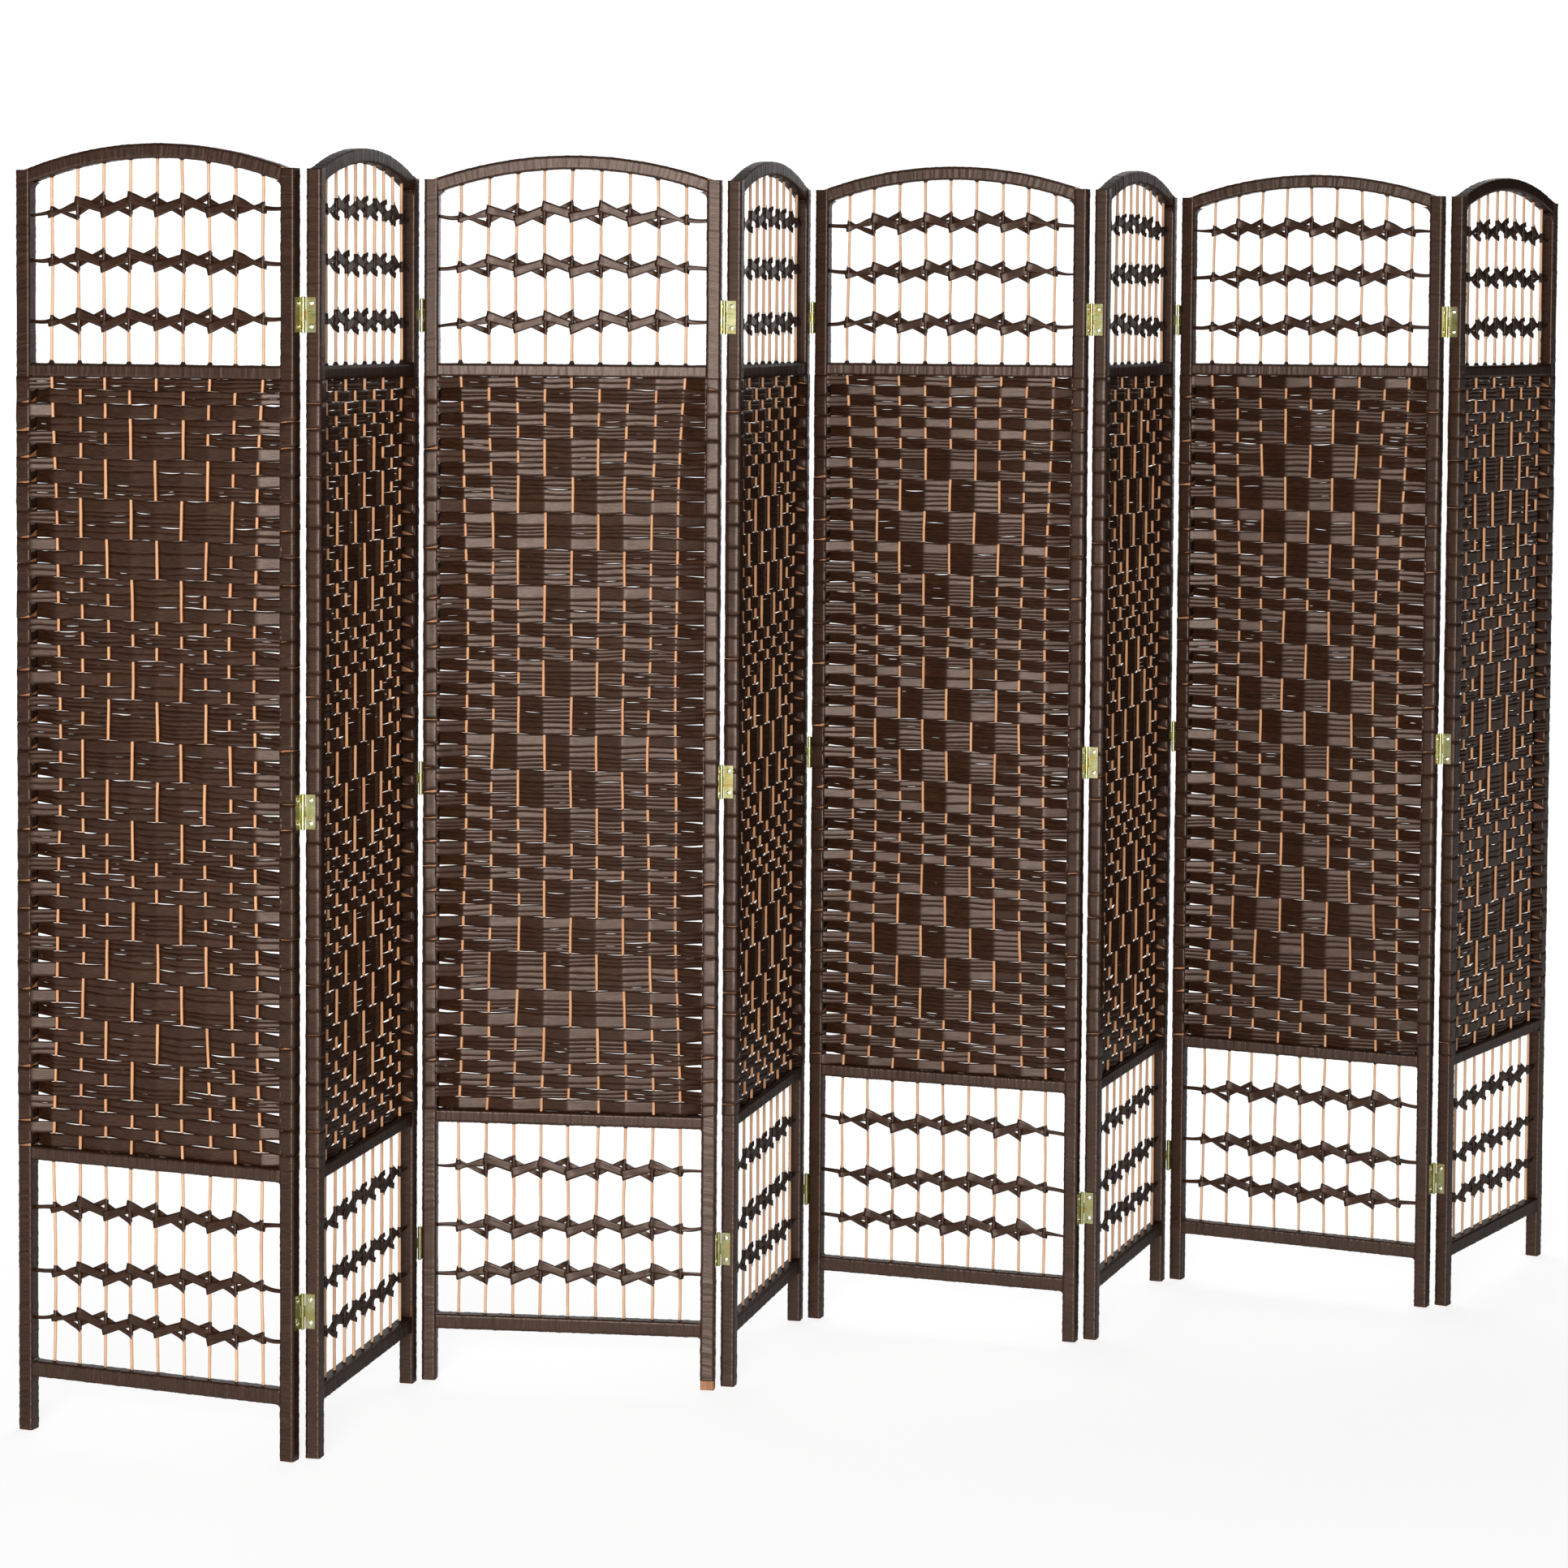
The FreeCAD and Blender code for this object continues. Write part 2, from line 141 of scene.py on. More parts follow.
class Skin:
    """Collects closed skins of quads with fibre coordinates, to make one mesh."""

    def __init__(self):
        self.points, self.loops, self.sizes, self.uvs, self.smooth = [], [], [], [], []
        self.count = 0

    def faces(self, corners, uv, smooth):
        self.loops.append(corners.reshape(-1))
        self.sizes.append(np.full(len(corners), corners.shape[1]))
        self.uvs.append(uv.reshape(-1, 2))
        self.smooth.append(smooth)

    def tube(self, rings, along, across, turned=False, creases=()):
        """A skin over rings (m, k, 3), which turn the right-handed way round the line they follow.

        along (m) and across (k + 1) are in metres, and turned swaps them. With two creases, the
        columns of faces at a ribbon's edges, the ends are closed across it, otherwise by one face.
        """
        m, k = rings.shape[:2]
        index = self.count + np.arange(m * k).reshape(m, k)
        right = np.roll(index, -1, axis=1)
        quads = np.stack([index[:-1], right[:-1], right[1:], index[1:]], axis=-1).reshape(-1, 4)
        u = np.broadcast_to(np.asarray(along)[:, None], (m, k + 1))
        v = np.broadcast_to(np.asarray(across)[None, :], (m, k + 1))
        uv = np.stack([v, u] if turned else [u, v], axis=-1)
        corners = [uv[:-1, :-1], uv[:-1, 1:], uv[1:, 1:], uv[1:, :-1]]
        smooth = np.ones((m - 1, k), bool)
        smooth[:, list(creases)] = False
        self.faces(quads, np.stack(corners, axis=2), smooth.reshape(-1))
        for ring, first in ((0, True), (m - 1, False)):
            if creases:
                half = k // 2
                front, back = index[ring][:half], index[ring][half:][::-1]
                cap = np.stack([front[:-1], back[:-1], back[1:], front[1:]], axis=-1)
                cap_uv = np.repeat(uv[ring, : half - 1], 4, axis=0)
            else:
                cap, cap_uv = index[ring][None, ::-1], uv[ring, :-1][::-1]
            self.faces(cap if first else cap[:, ::-1], cap_uv, np.zeros(len(cap), bool))
        self.points.append(rings.reshape(-1, 3))
        self.count += m * k

    def build(self, name, matrix, material):
        points = np.vstack(self.points)
        world = points @ np.array(matrix.to_3x3()).T + np.array(matrix.translation)
        loops, sizes = np.concatenate(self.loops), np.concatenate(self.sizes)
        mesh = bpy.data.meshes.new(name)
        mesh.vertices.add(len(world))
        mesh.vertices.foreach_set("co", world.astype(np.float32).ravel())
        mesh.loops.add(len(loops))
        mesh.loops.foreach_set("vertex_index", loops.astype(np.int32))
        mesh.polygons.add(len(sizes))
        starts = np.concatenate([[0], np.cumsum(sizes)[:-1]])
        mesh.polygons.foreach_set("loop_start", starts.astype(np.int32))
        mesh.polygons.foreach_set("use_smooth", np.concatenate(self.smooth))
        layer = mesh.uv_layers.new(name="Fibre")
        layer.data.foreach_set("uv", np.vstack(self.uvs).astype(np.float32).ravel())
        mesh.update(calc_edges=True)
        mesh.validate()
        mesh.materials.append(material)
        obj = bpy.data.objects.new(name, mesh)
        bpy.context.scene.collection.objects.link(obj)
        return obj


def ribbon(skin, rng, surface, outward, height):
    """A thin ribbon of that height about a surface (m, s, 3), which runs upwards along s."""
    s = surface.shape[1]
    shift = outward[:, None, :] * RIBBON_THICKNESS / 2
    rings = np.concatenate([surface + shift, (surface - shift)[:, ::-1]], axis=1)
    run = np.linalg.norm(np.diff(surface[:, s // 2], axis=0), axis=1)
    share = np.linspace(0, height, s)
    across = np.concatenate([share, share + height, [2 * height]])
    start = rng.uniform(0, FIBRE_SHIFT, 2)
    skin.tube(rings, np.append(0, np.cumsum(run)) + start[0], across + start[1], creases=(s - 1, 2 * s - 1))


def strip(skin, rng, x, y, low, high, sections):
    """A flat ribbon along a path x, y (m), upright between the heights low and high (m)."""
    share = np.linspace(0, 1, sections)
    z = low[:, None] + (high - low)[:, None] * share[None, :]
    run = np.append(0, np.cumsum(np.hypot(np.diff(x), np.diff(y))))
    height = float(np.mean(high - low))
    bend = np.stack([waves(rng, CURL_WAVES, height * CURL)(run) for _ in share], axis=1)
    tangent = np.stack([np.gradient(x), np.gradient(y)], axis=1)
    tangent /= np.linalg.norm(tangent, axis=1)[:, None]
    outward = np.stack([-tangent[:, 1], tangent[:, 0], np.zeros(len(x))], axis=1)
    line = np.stack([x, y, np.zeros(len(x))], axis=1)
    surface = line[:, None, :] + outward[:, None, :] * bend[:, :, None] + z[:, :, None] * Z_AXIS
    ribbon(skin, rng, surface, outward, height)


# Extra points on the flats of a batten, and the turns of the ribbon wound round it
FLAT_SHARES = (0.12, 0.88)
TURN_WIDTHS = (0.0009, 0.0019)
SWELL_WAVES, SWELL = (0.012, 0.03, 0.08, 0.2), 0.0003
RIDGE, RIDGE_POWER = 0.00024, 1.5
SLANT_FADE = 0.008
SLANT_WAVES, SLANT_WANDER = (0.03, 0.09, 0.21), 0.12
SIDE_SLANT = 0.4


def rounded_profile(half_a, half_b, radius):
    """Points round a rounded rectangle (k, 2), and how far round each is (k + 1)."""
    corners = ((1, 1), (-1, 1), (-1, -1), (1, -1))
    points = []
    for quarter, corner in enumerate(corners):
        centre = np.array(corner) * (np.array([half_a, half_b]) - radius)
        for step in (0, 0.5, 1):
            turn = math.pi / 2 * (quarter + step)
            points.append(centre + radius * np.array([math.cos(turn), math.sin(turn)]))
        ahead = np.array(corners[(quarter + 1) % 4]) * (np.array([half_a, half_b]) - radius)
        ahead = ahead + radius * np.array([math.cos(turn), math.sin(turn)])
        points += [points[-1] + (ahead - points[-1]) * share for share in FLAT_SHARES]
    points = np.array(points)
    steps = np.linalg.norm(np.roll(points, -1, axis=0) - points, axis=1)
    return points, np.append(0, np.cumsum(steps))


def sleeve(skin, rng, length, place, half_a, half_b, slant):
    """Ribbon wound round a batten: many narrow turns, each standing out a little differently."""
    spots = [0.0]
    while spots[-1] < length:
        spots.append(spots[-1] + rng.uniform(*TURN_WIDTHS))
    spots = np.array(spots) * length / spots[-1]
    profile, around = rounded_profile(half_a, half_b, EDGE_RADIUS)
    swell = waves(rng, SWELL_WAVES, SWELL)(spots)
    ridge = rng.uniform(0, 1, len(spots)) ** RIDGE_POWER * RIDGE
    pressed = under_hinge([place(s)[0][2] for s in spots])
    rise = WRAP_PROUD / 2 + np.where(pressed, 0, ridge + np.abs(swell))
    fade = np.clip(np.minimum(spots, length - spots) / SLANT_FADE, 0, 1)
    tilt = fade * (slant + waves(rng, SLANT_WAVES, SLANT_WANDER)(spots))
    rings = []
    for s, up, lean in zip(spots, rise, tilt):
        shaped = profile * (1 + up / np.array([half_a, half_b]))
        centre, a_way, b_way, forward = place(s)
        ring = centre + shaped[:, :1] * a_way + shaped[:, 1:] * b_way
        rings.append(ring + (shaped[:, 1:] * SIDE_SLANT + shaped[:, :1]) * lean * forward)
    offset = rng.uniform(0, FIBRE_SHIFT)
    skin.tube(np.array(rings), spots + offset, around + offset, turned=True)


def upright(x, z0):
    """Places up a stile: the middle, the two ways across and the way along."""
    return lambda s: (np.array([x, 0, z0 + s]), X_AXIS, Y_AXIS, Z_AXIS)


def level(x0, z):
    """The same along a cross rail."""
    return lambda s: (np.array([x0 + s, 0, z]), Y_AXIS, Z_AXIS, X_AXIS)


def along_arch(start_x):
    """The same along the arch, and the arch's length."""
    middle_radius = ARCH_RADIUS - ARCH_THICKNESS / 2
    first = math.asin((start_x - MIDDLE) / middle_radius)

    def place(s):
        turn = first + s / middle_radius
        radial = np.array([math.sin(turn), 0, math.cos(turn)])
        forward = np.array([math.cos(turn), 0, -math.sin(turn)])
        return np.array([MIDDLE, 0, ARCH_CENTRE]) + middle_radius * radial, Y_AXIS, radial, forward

    return place, -2 * first * middle_radius


class Panel:
    """The places of one panel's canes and rows, with the small unevenness of handwork."""

    def __init__(self, n):
        self.n = n
        self.name = f"panel_{n + 1}"
        self.rng = rng = np.random.default_rng(SEED + n)
        self.rows = WEAVE_ROWS[n]
        self.starts = DIAMOND_STARTS[n]
        self.looseness = LOOSENESS[n]
        self.bow = rng.uniform(*BOW, 2)
        self.sway = [waves(rng, SWAY_WAVES, SWAY) for _ in range(CANE_COUNT)]
        top = FIELD_TOP - FIELD_GAP
        pitch = (top - FIELD_BOTTOM) / self.rows
        self.edges = top - pitch * np.arange(self.rows + 1)
        self.edges[1:-1] += rng.uniform(-ROW_STRAY, ROW_STRAY, self.rows - 1)
        self.edge_waves = [waves(rng, ROW_WAVES, ROW_WANDER) for _ in self.edges]

    def matrix(self):
        """Where the panel stands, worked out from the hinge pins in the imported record."""
        n = self.n
        turn = Matrix.Rotation(math.radians(HEADINGS[n]), 4, "Z")
        face = PIN_OFFSET if n % 2 == 0 else -PIN_OFFSET
        if n < len(HEADINGS) - 1:
            pin, own = frame["joints"][n]["pos_m"], Vector((PANEL_WIDTH + KNUCKLE_RADIUS, face, 0))
        else:
            pin, own = frame["joints"][n - 1]["pos_m"], Vector((-KNUCKLE_RADIUS, -face, 0))
        base = Vector((pin[0], pin[1], 0)) - turn @ own
        return Matrix.Translation(base) @ turn

    def cane_x(self, cane, z):
        """Where a cane is at a height; those of the field are drawn in towards the middle."""
        z = np.asarray(z, float)
        x = STILE + CANE_MARGIN + CANE_SPACING * (cane - 1)
        away = (cane - MIDDLE_CANE) / (MIDDLE_CANE - 1)
        share = np.clip((z - FIELD_BOTTOM) / (FIELD_TOP - FIELD_BOTTOM), 0, 1)
        pull = self.bow[0 if away < 0 else 1] * np.sin(math.pi * share) ** BOW_POWER
        return x - away * pull + self.sway[cane - 1](z)

    def behind(self, row, cane):
        """True where the ribbon of a row passes behind a cane; the stiles are canes 0 and LAST_POST."""
        behind = (cane + row - self.starts[0]) % 2 == 0
        for start in self.starts:
            for k, reach in enumerate(DIAMOND_REACHES):
                if row == start + 1 + k * DIAMOND_STEP and abs(cane - MIDDLE_CANE) <= reach:
                    return not behind
        return behind

    def edge(self, row, x):
        """Height of the boundary under a row (row 0 is the top of the field)."""
        calm = CALM_EDGE if row in (0, self.rows) else 1
        return self.edges[row] + calm * self.edge_waves[row](x)


# Shares of a cell's length and depth, for a ribbon pulled straight from one cane to the next
SHARES = np.array([0, 0.05, 0.16, 0.39, 0.61, 0.84, 0.95])
STEPS = np.array([0, 0.025, 0.145, 0.385, 0.615, 0.855, 0.975])
ROW_TUCK, ROW_DIP = 0.005, 0.0004


def row_path(panel, row):
    """The line of a row's ribbon across the panel: x, y and the cell that each point is in."""
    z = float(panel.edges[row - 1] + panel.edges[row]) / 2
    canes = range(1, CANE_COUNT + 1)
    posts = [STILE] + [float(panel.cane_x(c, z)) for c in canes] + [PANEL_WIDTH - STILE]
    depth = [STILE_FACE] + [RIBBON_OFFSET] * CANE_COUNT + [STILE_FACE]
    offsets = [d if panel.behind(row, c) else -d for c, d in enumerate(depth)]
    # the ends dip into the bands round the stiles
    tucks = [math.copysign(HALF_STILE - ROW_DIP, offset) for offset in (offsets[0], offsets[-1])]
    xs, ys, cells = [STILE - ROW_TUCK], [tucks[0]], [0]
    for cell in range(CANE_COUNT + 1):
        for share, step in zip(SHARES, STEPS):
            xs.append(posts[cell] + (posts[cell + 1] - posts[cell]) * share)
            ys.append(offsets[cell] + (offsets[cell + 1] - offsets[cell]) * step)
            cells.append(cell + share)
    xs += [posts[-1], posts[-1] + ROW_TUCK]
    ys += [offsets[-1], tucks[1]]
    cells += [LAST_POST] * 2
    return np.array(xs), np.array(ys), np.array(cells, float)


# Slits: the range of their lengths in cells and of their openings, and how blunt their ends are
SLIT_LENGTHS, SLIT_OPENINGS, SLIT_POWER = (0.35, 0.9), (0.4, 1), 0.7


def slits(rng, cells, chance, size):
    """How far a seam opens along a row: a few cells have a slit in a part of their length."""
    gap = np.zeros_like(cells)
    for cell in range(CANE_COUNT + 1):
        if rng.random() < chance:
            length = rng.uniform(*SLIT_LENGTHS)
            start = cell + rng.uniform(0, 1 - length)
            inside = np.clip((cells - start) / length, 0, 1)
            gap += rng.uniform(*SLIT_OPENINGS) * size * np.sin(math.pi * inside) ** SLIT_POWER
    return gap


# A row is one flat ribbon, or gathered into two or three strands
STRAND_COUNTS, STRAND_CHANCES = (1, 2, 3), (0.25, 0.4, 0.35)
STRAND_SECTIONS = {1: 6, 2: 4, 3: 3}
STRAND_LAP = 0.0003
STRAND_FOLD = 0.00012
SEAM_STRAY = 0.22
SEAM_WAVES, SEAM_WANDER = (0.11, 0.29), 0.12
# Chances of a slit in each cell, at the rails and elsewhere, and how far it opens
RAIL_SLITS_ABOVE, SLITS_ABOVE, SLIT_ABOVE = 0.75, 0.08, 0.0013
RAIL_SLITS_BELOW, SLITS_BELOW, SLIT_BELOW = 0.5, 0.05, 0.001
SEAM_SLITS, SEAM_SLIT = 0.2, 0.0015


def woven_field(panel):
    """The field's ribbon, row by row from the top."""
    skin, rng = Skin(), panel.rng
    loose = panel.looseness
    for row in range(1, panel.rows + 1):
        x, y, cells = row_path(panel, row)
        above = RAIL_SLITS_ABOVE if row == 1 else SLITS_ABOVE * loose
        below = RAIL_SLITS_BELOW if row == panel.rows else SLITS_BELOW * loose
        top = panel.edge(row - 1, x) - slits(rng, cells, above, SLIT_ABOVE)
        bottom = panel.edge(row, x) + slits(rng, cells, below, SLIT_BELOW)
        count = rng.choice(STRAND_COUNTS, p=STRAND_CHANCES)
        lows, highs = [bottom], []
        for strand in range(1, count):
            share = (strand + rng.uniform(-SEAM_STRAY, SEAM_STRAY)) / count
            share = share + waves(rng, SEAM_WAVES, SEAM_WANDER / count)(x)
            seam = bottom + (top - bottom) * share
            gap = slits(rng, cells, SEAM_SLITS * loose, SEAM_SLIT) / 2
            highs.append(seam + STRAND_LAP - gap)
            lows.append(seam - STRAND_LAP + gap)
        highs.append(top)
        fold = STRAND_FOLD * rng.choice((-1, 1))
        for strand in range(count):
            shift = fold * (-1) ** strand if count > 1 else 0
            strip(skin, rng, x, y + shift, lows[strand], highs[strand], STRAND_SECTIONS[count])
    return skin


# The bands' line round a stile: how far its corners are cut back, and its points along the faces
BAND_TURN_IN, BAND_CORNER = ((0.0004, 0.0012), (0.0012, 0.0003)), 0.0008
BAND_FRONT, BAND_SIDE = (0.7, 0.35, 0, -0.35, -0.7), (-0.7, -0.3, 0)
BAND_SECTIONS = 7
# Bare wood between the bands: wedges that narrow round the stile, and thin lines
WEDGE_CHANCE, WEDGES = 0.45, (0.002, 0.005)
WEDGE_REACH, WEDGE_POWER = 0.42, 1.6
LINE_CHANCE, LINES = 0.35, (0.0003, 0.0009)
BAND_LAP = 0.001
BAND_WAVES, BAND_WANDER = (0.02, 0.05), 0.0003
BAND_BULGE = 0.0005


def stile_line():
    """From a stile's inner front corner round the outside to its inner back corner, about its middle."""
    half = HALF_STILE + WRAP_PROUD
    line = [(half - back, -half + inward) for back, inward in BAND_TURN_IN]
    line += [(t * half, -half) for t in BAND_FRONT]
    line += [(-half + BAND_CORNER, -half + BAND_CORNER)]
    line += [(-half, t * half) for t in BAND_SIDE]
    line = np.array(line)
    return np.vstack([line, line[-2::-1] * (1, -1)])


def stile_bands(skin, panel, left):
    """Where the rows turn round a stile: wide bands, some with a little bare wood between them."""
    rng = panel.rng
    line = stile_line()
    steps = np.append(0, np.cumsum(np.linalg.norm(np.diff(line, axis=0), axis=1)))
    share = steps / steps[-1]
    front = np.clip(1 - share / WEDGE_REACH, 0, 1) ** WEDGE_POWER
    back = front[::-1]
    post = 0 if left else LAST_POST
    sign = 1 if left else -1
    centre = HALF_STILE if left else PANEL_WIDTH - HALF_STILE
    edge = [float(panel.edge(r, centre)) for r in range(panel.rows + 1)]
    row = 1
    while row <= panel.rows:
        # on the left a front row is followed by its back row, and on the right the other way about
        pair = row < panel.rows and panel.behind(row, post) != left
        last = row + 1 if pair else row
        near, far = (back, front) if panel.behind(row, post) else (front, back)
        wedge = rng.uniform(*WEDGES) if rng.random() < WEDGE_CHANCE else 0
        line_gap = rng.uniform(*LINES) if rng.random() < LINE_CHANCE else -BAND_LAP
        low = edge[last] + line_gap + (wedge - line_gap) * near
        high = edge[row - 1] - wedge / 2 * far
        low = low + waves(rng, BAND_WAVES, BAND_WANDER)(steps)
        high = high + waves(rng, BAND_WAVES, BAND_WANDER)(steps)
        bulge = 1 + rng.uniform(0, BAND_BULGE) / HALF_STILE
        if under_hinge((edge[row - 1], edge[last])).any():
            bulge = 1
        x, y = centre + sign * line[:, 0] * bulge, line[:, 1] * bulge
        strip(skin, rng, x, y, low, high, BAND_SECTIONS)
        row = last + 1


FOLD_PROUD, FOLD_LAP = 0.0003, 0.001
FOLD_POINTS, FOLD_SECTIONS = 6, 4
# Bare wood under a fold, in shares of its row: the same all along it, and more at its far end
FOLD_BARE, FOLD_BARE_FAR = (-0.05, 0.15), (0.15, 0.55)


def inner_folds(skin, panel, left):
    """Ribbon folded over a stile's inner face, with a wedge of bare wood left in each row."""
    rng = panel.rng
    post = 0 if left else LAST_POST
    x = STILE + FOLD_PROUD if left else PANEL_WIDTH - STILE - FOLD_PROUD
    y = np.linspace(-1, 1, FOLD_POINTS) * HALF_STILE
    rising = np.linspace(0, 1, FOLD_POINTS)
    falling = np.linspace(1, 0, FOLD_POINTS)
    for row in range(1, panel.rows + 1):
        top, bottom = float(panel.edge(row - 1, x)), float(panel.edge(row, x))
        far = rising if panel.behind(row, post) else falling
        bare = rng.uniform(*FOLD_BARE) + rng.uniform(*FOLD_BARE_FAR) * far
        low = bottom + (top - bottom) * bare
        high = np.full(FOLD_POINTS, top + FOLD_LAP)
        strip(skin, rng, np.full(FOLD_POINTS, x), y, low, high, FOLD_SECTIONS)


CAP_START, CAP_REACH, CAP_POINTS = 0.0012, 0.003, 7
CAP_INSET, CAP_DROP, CAP_SHOULDER, CAP_FLAT = 0.0006, 0.0016, 0.0006, 0.8


def stile_cap(skin, rng, left):
    """Ribbon folded over a stile's top and up to the arch."""
    x = np.linspace(CAP_START, STILE + CAP_REACH, CAP_POINTS)
    z = np.maximum(STILE_HEIGHT, arch_height(x, ARCH_RADIUS)) + WRAP_PROUD
    half = HALF_STILE - CAP_INSET
    shape = np.array([
        (-half, -CAP_DROP), (half, -CAP_DROP), (half, -CAP_SHOULDER),
        (half * CAP_FLAT, 0), (-half * CAP_FLAT, 0), (-half, -CAP_SHOULDER),
    ])
    place = x if left else PANEL_WIDTH - x[::-1]
    z = z if left else z[::-1]
    rings = place[:, None, None] * X_AXIS + shape[None, :, :1] * Y_AXIS
    rings = rings + (z[:, None, None] + shape[None, :, 1:]) * Z_AXIS
    across = np.linspace(0, 4 * HALF_STILE, len(shape) + 1)
    start = rng.uniform(0, FIBRE_SHIFT, 2)
    skin.tube(rings, x + start[0], across + start[1], turned=True)


FILLET_POINTS, FILLET_RINGS = 6, 5
FILLET_ROOT, FILLET_INSET = 0.002, 0.0004
FILLET_SPREAD = (0.8, 1.3)


def inner_corner(skin, rng, x, z, right_way, up_way, size):
    """Ribbon bridging the inner corner between two battens, as a hollow fillet of that size."""
    turn = np.linspace(0, math.pi / 2, FILLET_POINTS)
    arc = np.stack([1 - np.sin(turn), 1 - np.cos(turn)], axis=1) * size
    outline = np.vstack([[(-FILLET_ROOT, -FILLET_ROOT)], arc]) * (right_way, up_way)
    # turn the outline the right-handed way round the depth
    if right_way * up_way > 0:
        outline = outline[::-1]
    depth = np.linspace(-1, 1, FILLET_RINGS) * (RAIL_DEPTH / 2 - FILLET_INSET)
    rings = (x + outline[None, :, :1]) * X_AXIS + (z + outline[None, :, 1:]) * Z_AXIS
    rings = rings + depth[:, None, None] * Y_AXIS
    across = np.linspace(0, 3 * size, len(outline) + 1)
    start = rng.uniform(0, FIBRE_SHIFT, 2)
    skin.tube(rings, depth + start[0], across + start[1])


ROUND_SIDES = 10


def round_piece(skin, rng, x, heights, radii, turned=True):
    """A cane, or something wound round one: rings of those radii at those heights, lowest first."""
    turn = 2 * math.pi * np.arange(ROUND_SIDES) / ROUND_SIDES
    circle = np.stack([np.cos(turn), np.sin(turn), np.zeros(ROUND_SIDES)], axis=1)
    x, heights, radii = np.broadcast_arrays(x, heights, radii)
    line = x[:, None] * X_AXIS + heights[:, None] * Z_AXIS
    rings = line[:, None, :] + radii[:, None, None] * circle[None, :, :]
    around = float(np.mean(radii)) * np.append(turn, 2 * math.pi)
    start = rng.uniform(0, FIBRE_SHIFT, 2)
    skin.tube(rings, heights + start[0], around + start[1], turned=turned)


# Peaks of wrap round the canes: how far they reach on a rail or hang under one, and their outline
HIGH_TENT, LOW_TENT, HANGING_TENT = (0.002, 0.0055), (0.001, 0.0025), (0.001, 0.003)
TENT_ROOT, TENT_LIP, TENT_WAIST = 0.0008, 0.0004, 0.4
TENT_RADII, TENT_SPREAD = np.array([0.0052, 0.0046, 0.0033, 0.0023]), (0.9, 1.1)


def cane_tents(skin, panel):
    """Wrap drawn up round the canes where they leave a rail or the arch."""
    rng = panel.rng
    for cane in range(1, CANE_COUNT + 1):
        under_arch = float(arch_height(panel.cane_x(cane, STILE_HEIGHT), ARCH_INNER_RADIUS))
        exits = (
            (UPPER_RAIL_TOP, 1, rng.uniform(*HIGH_TENT)),
            (BOTTOM_RAIL_TOP, 1, rng.uniform(*LOW_TENT)),
            (LOWER_OPEN_TOP, -1, rng.uniform(*HANGING_TENT)),
            (under_arch, -1, rng.uniform(*HANGING_TENT)),
        )
        for z, way, reach in exits:
            heights = z + way * np.array([-TENT_ROOT, TENT_LIP, TENT_WAIST * reach, reach])
            radii = TENT_RADII * rng.uniform(*TENT_SPREAD)
            round_piece(skin, rng, float(panel.cane_x(cane, z)), heights[::way], radii[::way])


# Each rail's top and height
RAILS = (
    (UPPER_RAIL_TOP, CROSS_RAIL_HEIGHT),
    (LOWER_RAIL_TOP, CROSS_RAIL_HEIGHT),
    (BOTTOM_RAIL_TOP, BOTTOM_RAIL_HEIGHT),
)
# Each inner corner's height, the way from its batten, up or down, and the size of its fillet
CORNERS = (
    (float(arch_height(STILE, ARCH_INNER_RADIUS)), -1, 0.010),
    (UPPER_RAIL_TOP, 1, 0.003),
    (LOWER_OPEN_TOP, -1, 0.0055),
    (BOTTOM_RAIL_TOP, 1, 0.004),
    (BOTTOM_RAIL_TOP - BOTTOM_RAIL_HEIGHT, -1, 0.0045),
)
# The wrap starts just over the floor, and higher on the right leg of one panel
WRAP_FOOT, BARE_FOOT, BARE_FOOT_PANEL = 0.0006, 0.013, 2
LEG_LAP, FIELD_LAP = 0.0005, 0.001
LEG_SLANT, STILE_SLANT, RAIL_SLANT, ARCH_SLANT = 0.1, 0.12, 0.06, 0.1
ARCH_START = 0.008


def wraps(panel):
    """All the ribbon on a panel's battens."""
    skin, rng = Skin(), panel.rng
    for left in (True, False):
        x = HALF_STILE if left else PANEL_WIDTH - HALF_STILE
        sign = 1 if left else -1
        foot = BARE_FOOT if panel.n == BARE_FOOT_PANEL and not left else WRAP_FOOT
        leg_length = LOWER_RAIL_TOP + LEG_LAP - foot
        sleeve(skin, rng, leg_length, upright(x, foot), HALF_STILE, HALF_STILE, sign * LEG_SLANT)
        top_start = FIELD_TOP - FIELD_LAP
        top_length = STILE_HEIGHT + WRAP_PROUD - top_start
        sleeve(skin, rng, top_length, upright(x, top_start), HALF_STILE, HALF_STILE, sign * STILE_SLANT)
        stile_bands(skin, panel, left)
        inner_folds(skin, panel, left)
        stile_cap(skin, rng, left)
        for z, up_way, size in CORNERS:
            size *= rng.uniform(*FILLET_SPREAD)
            inner_corner(skin, rng, x + sign * HALF_STILE, z, sign, up_way, size)
    for top, height in RAILS:
        place = level(STILE, top - height / 2)
        sleeve(skin, rng, PANEL_WIDTH - 2 * STILE, place, RAIL_DEPTH / 2, height / 2, RAIL_SLANT)
    place, length = along_arch(ARCH_START)
    sleeve(skin, rng, length, place, RAIL_DEPTH / 2, ARCH_THICKNESS / 2, ARCH_SLANT)
    cane_tents(skin, panel)
    return skin


CANE_POINTS = 110
CANE_WAVES, CANE_WANDER = (0.05, 0.12), 0.0002
GIRTH_WAVES, GIRTH_CHANGE = (0.03, 0.08, 0.2), 0.06


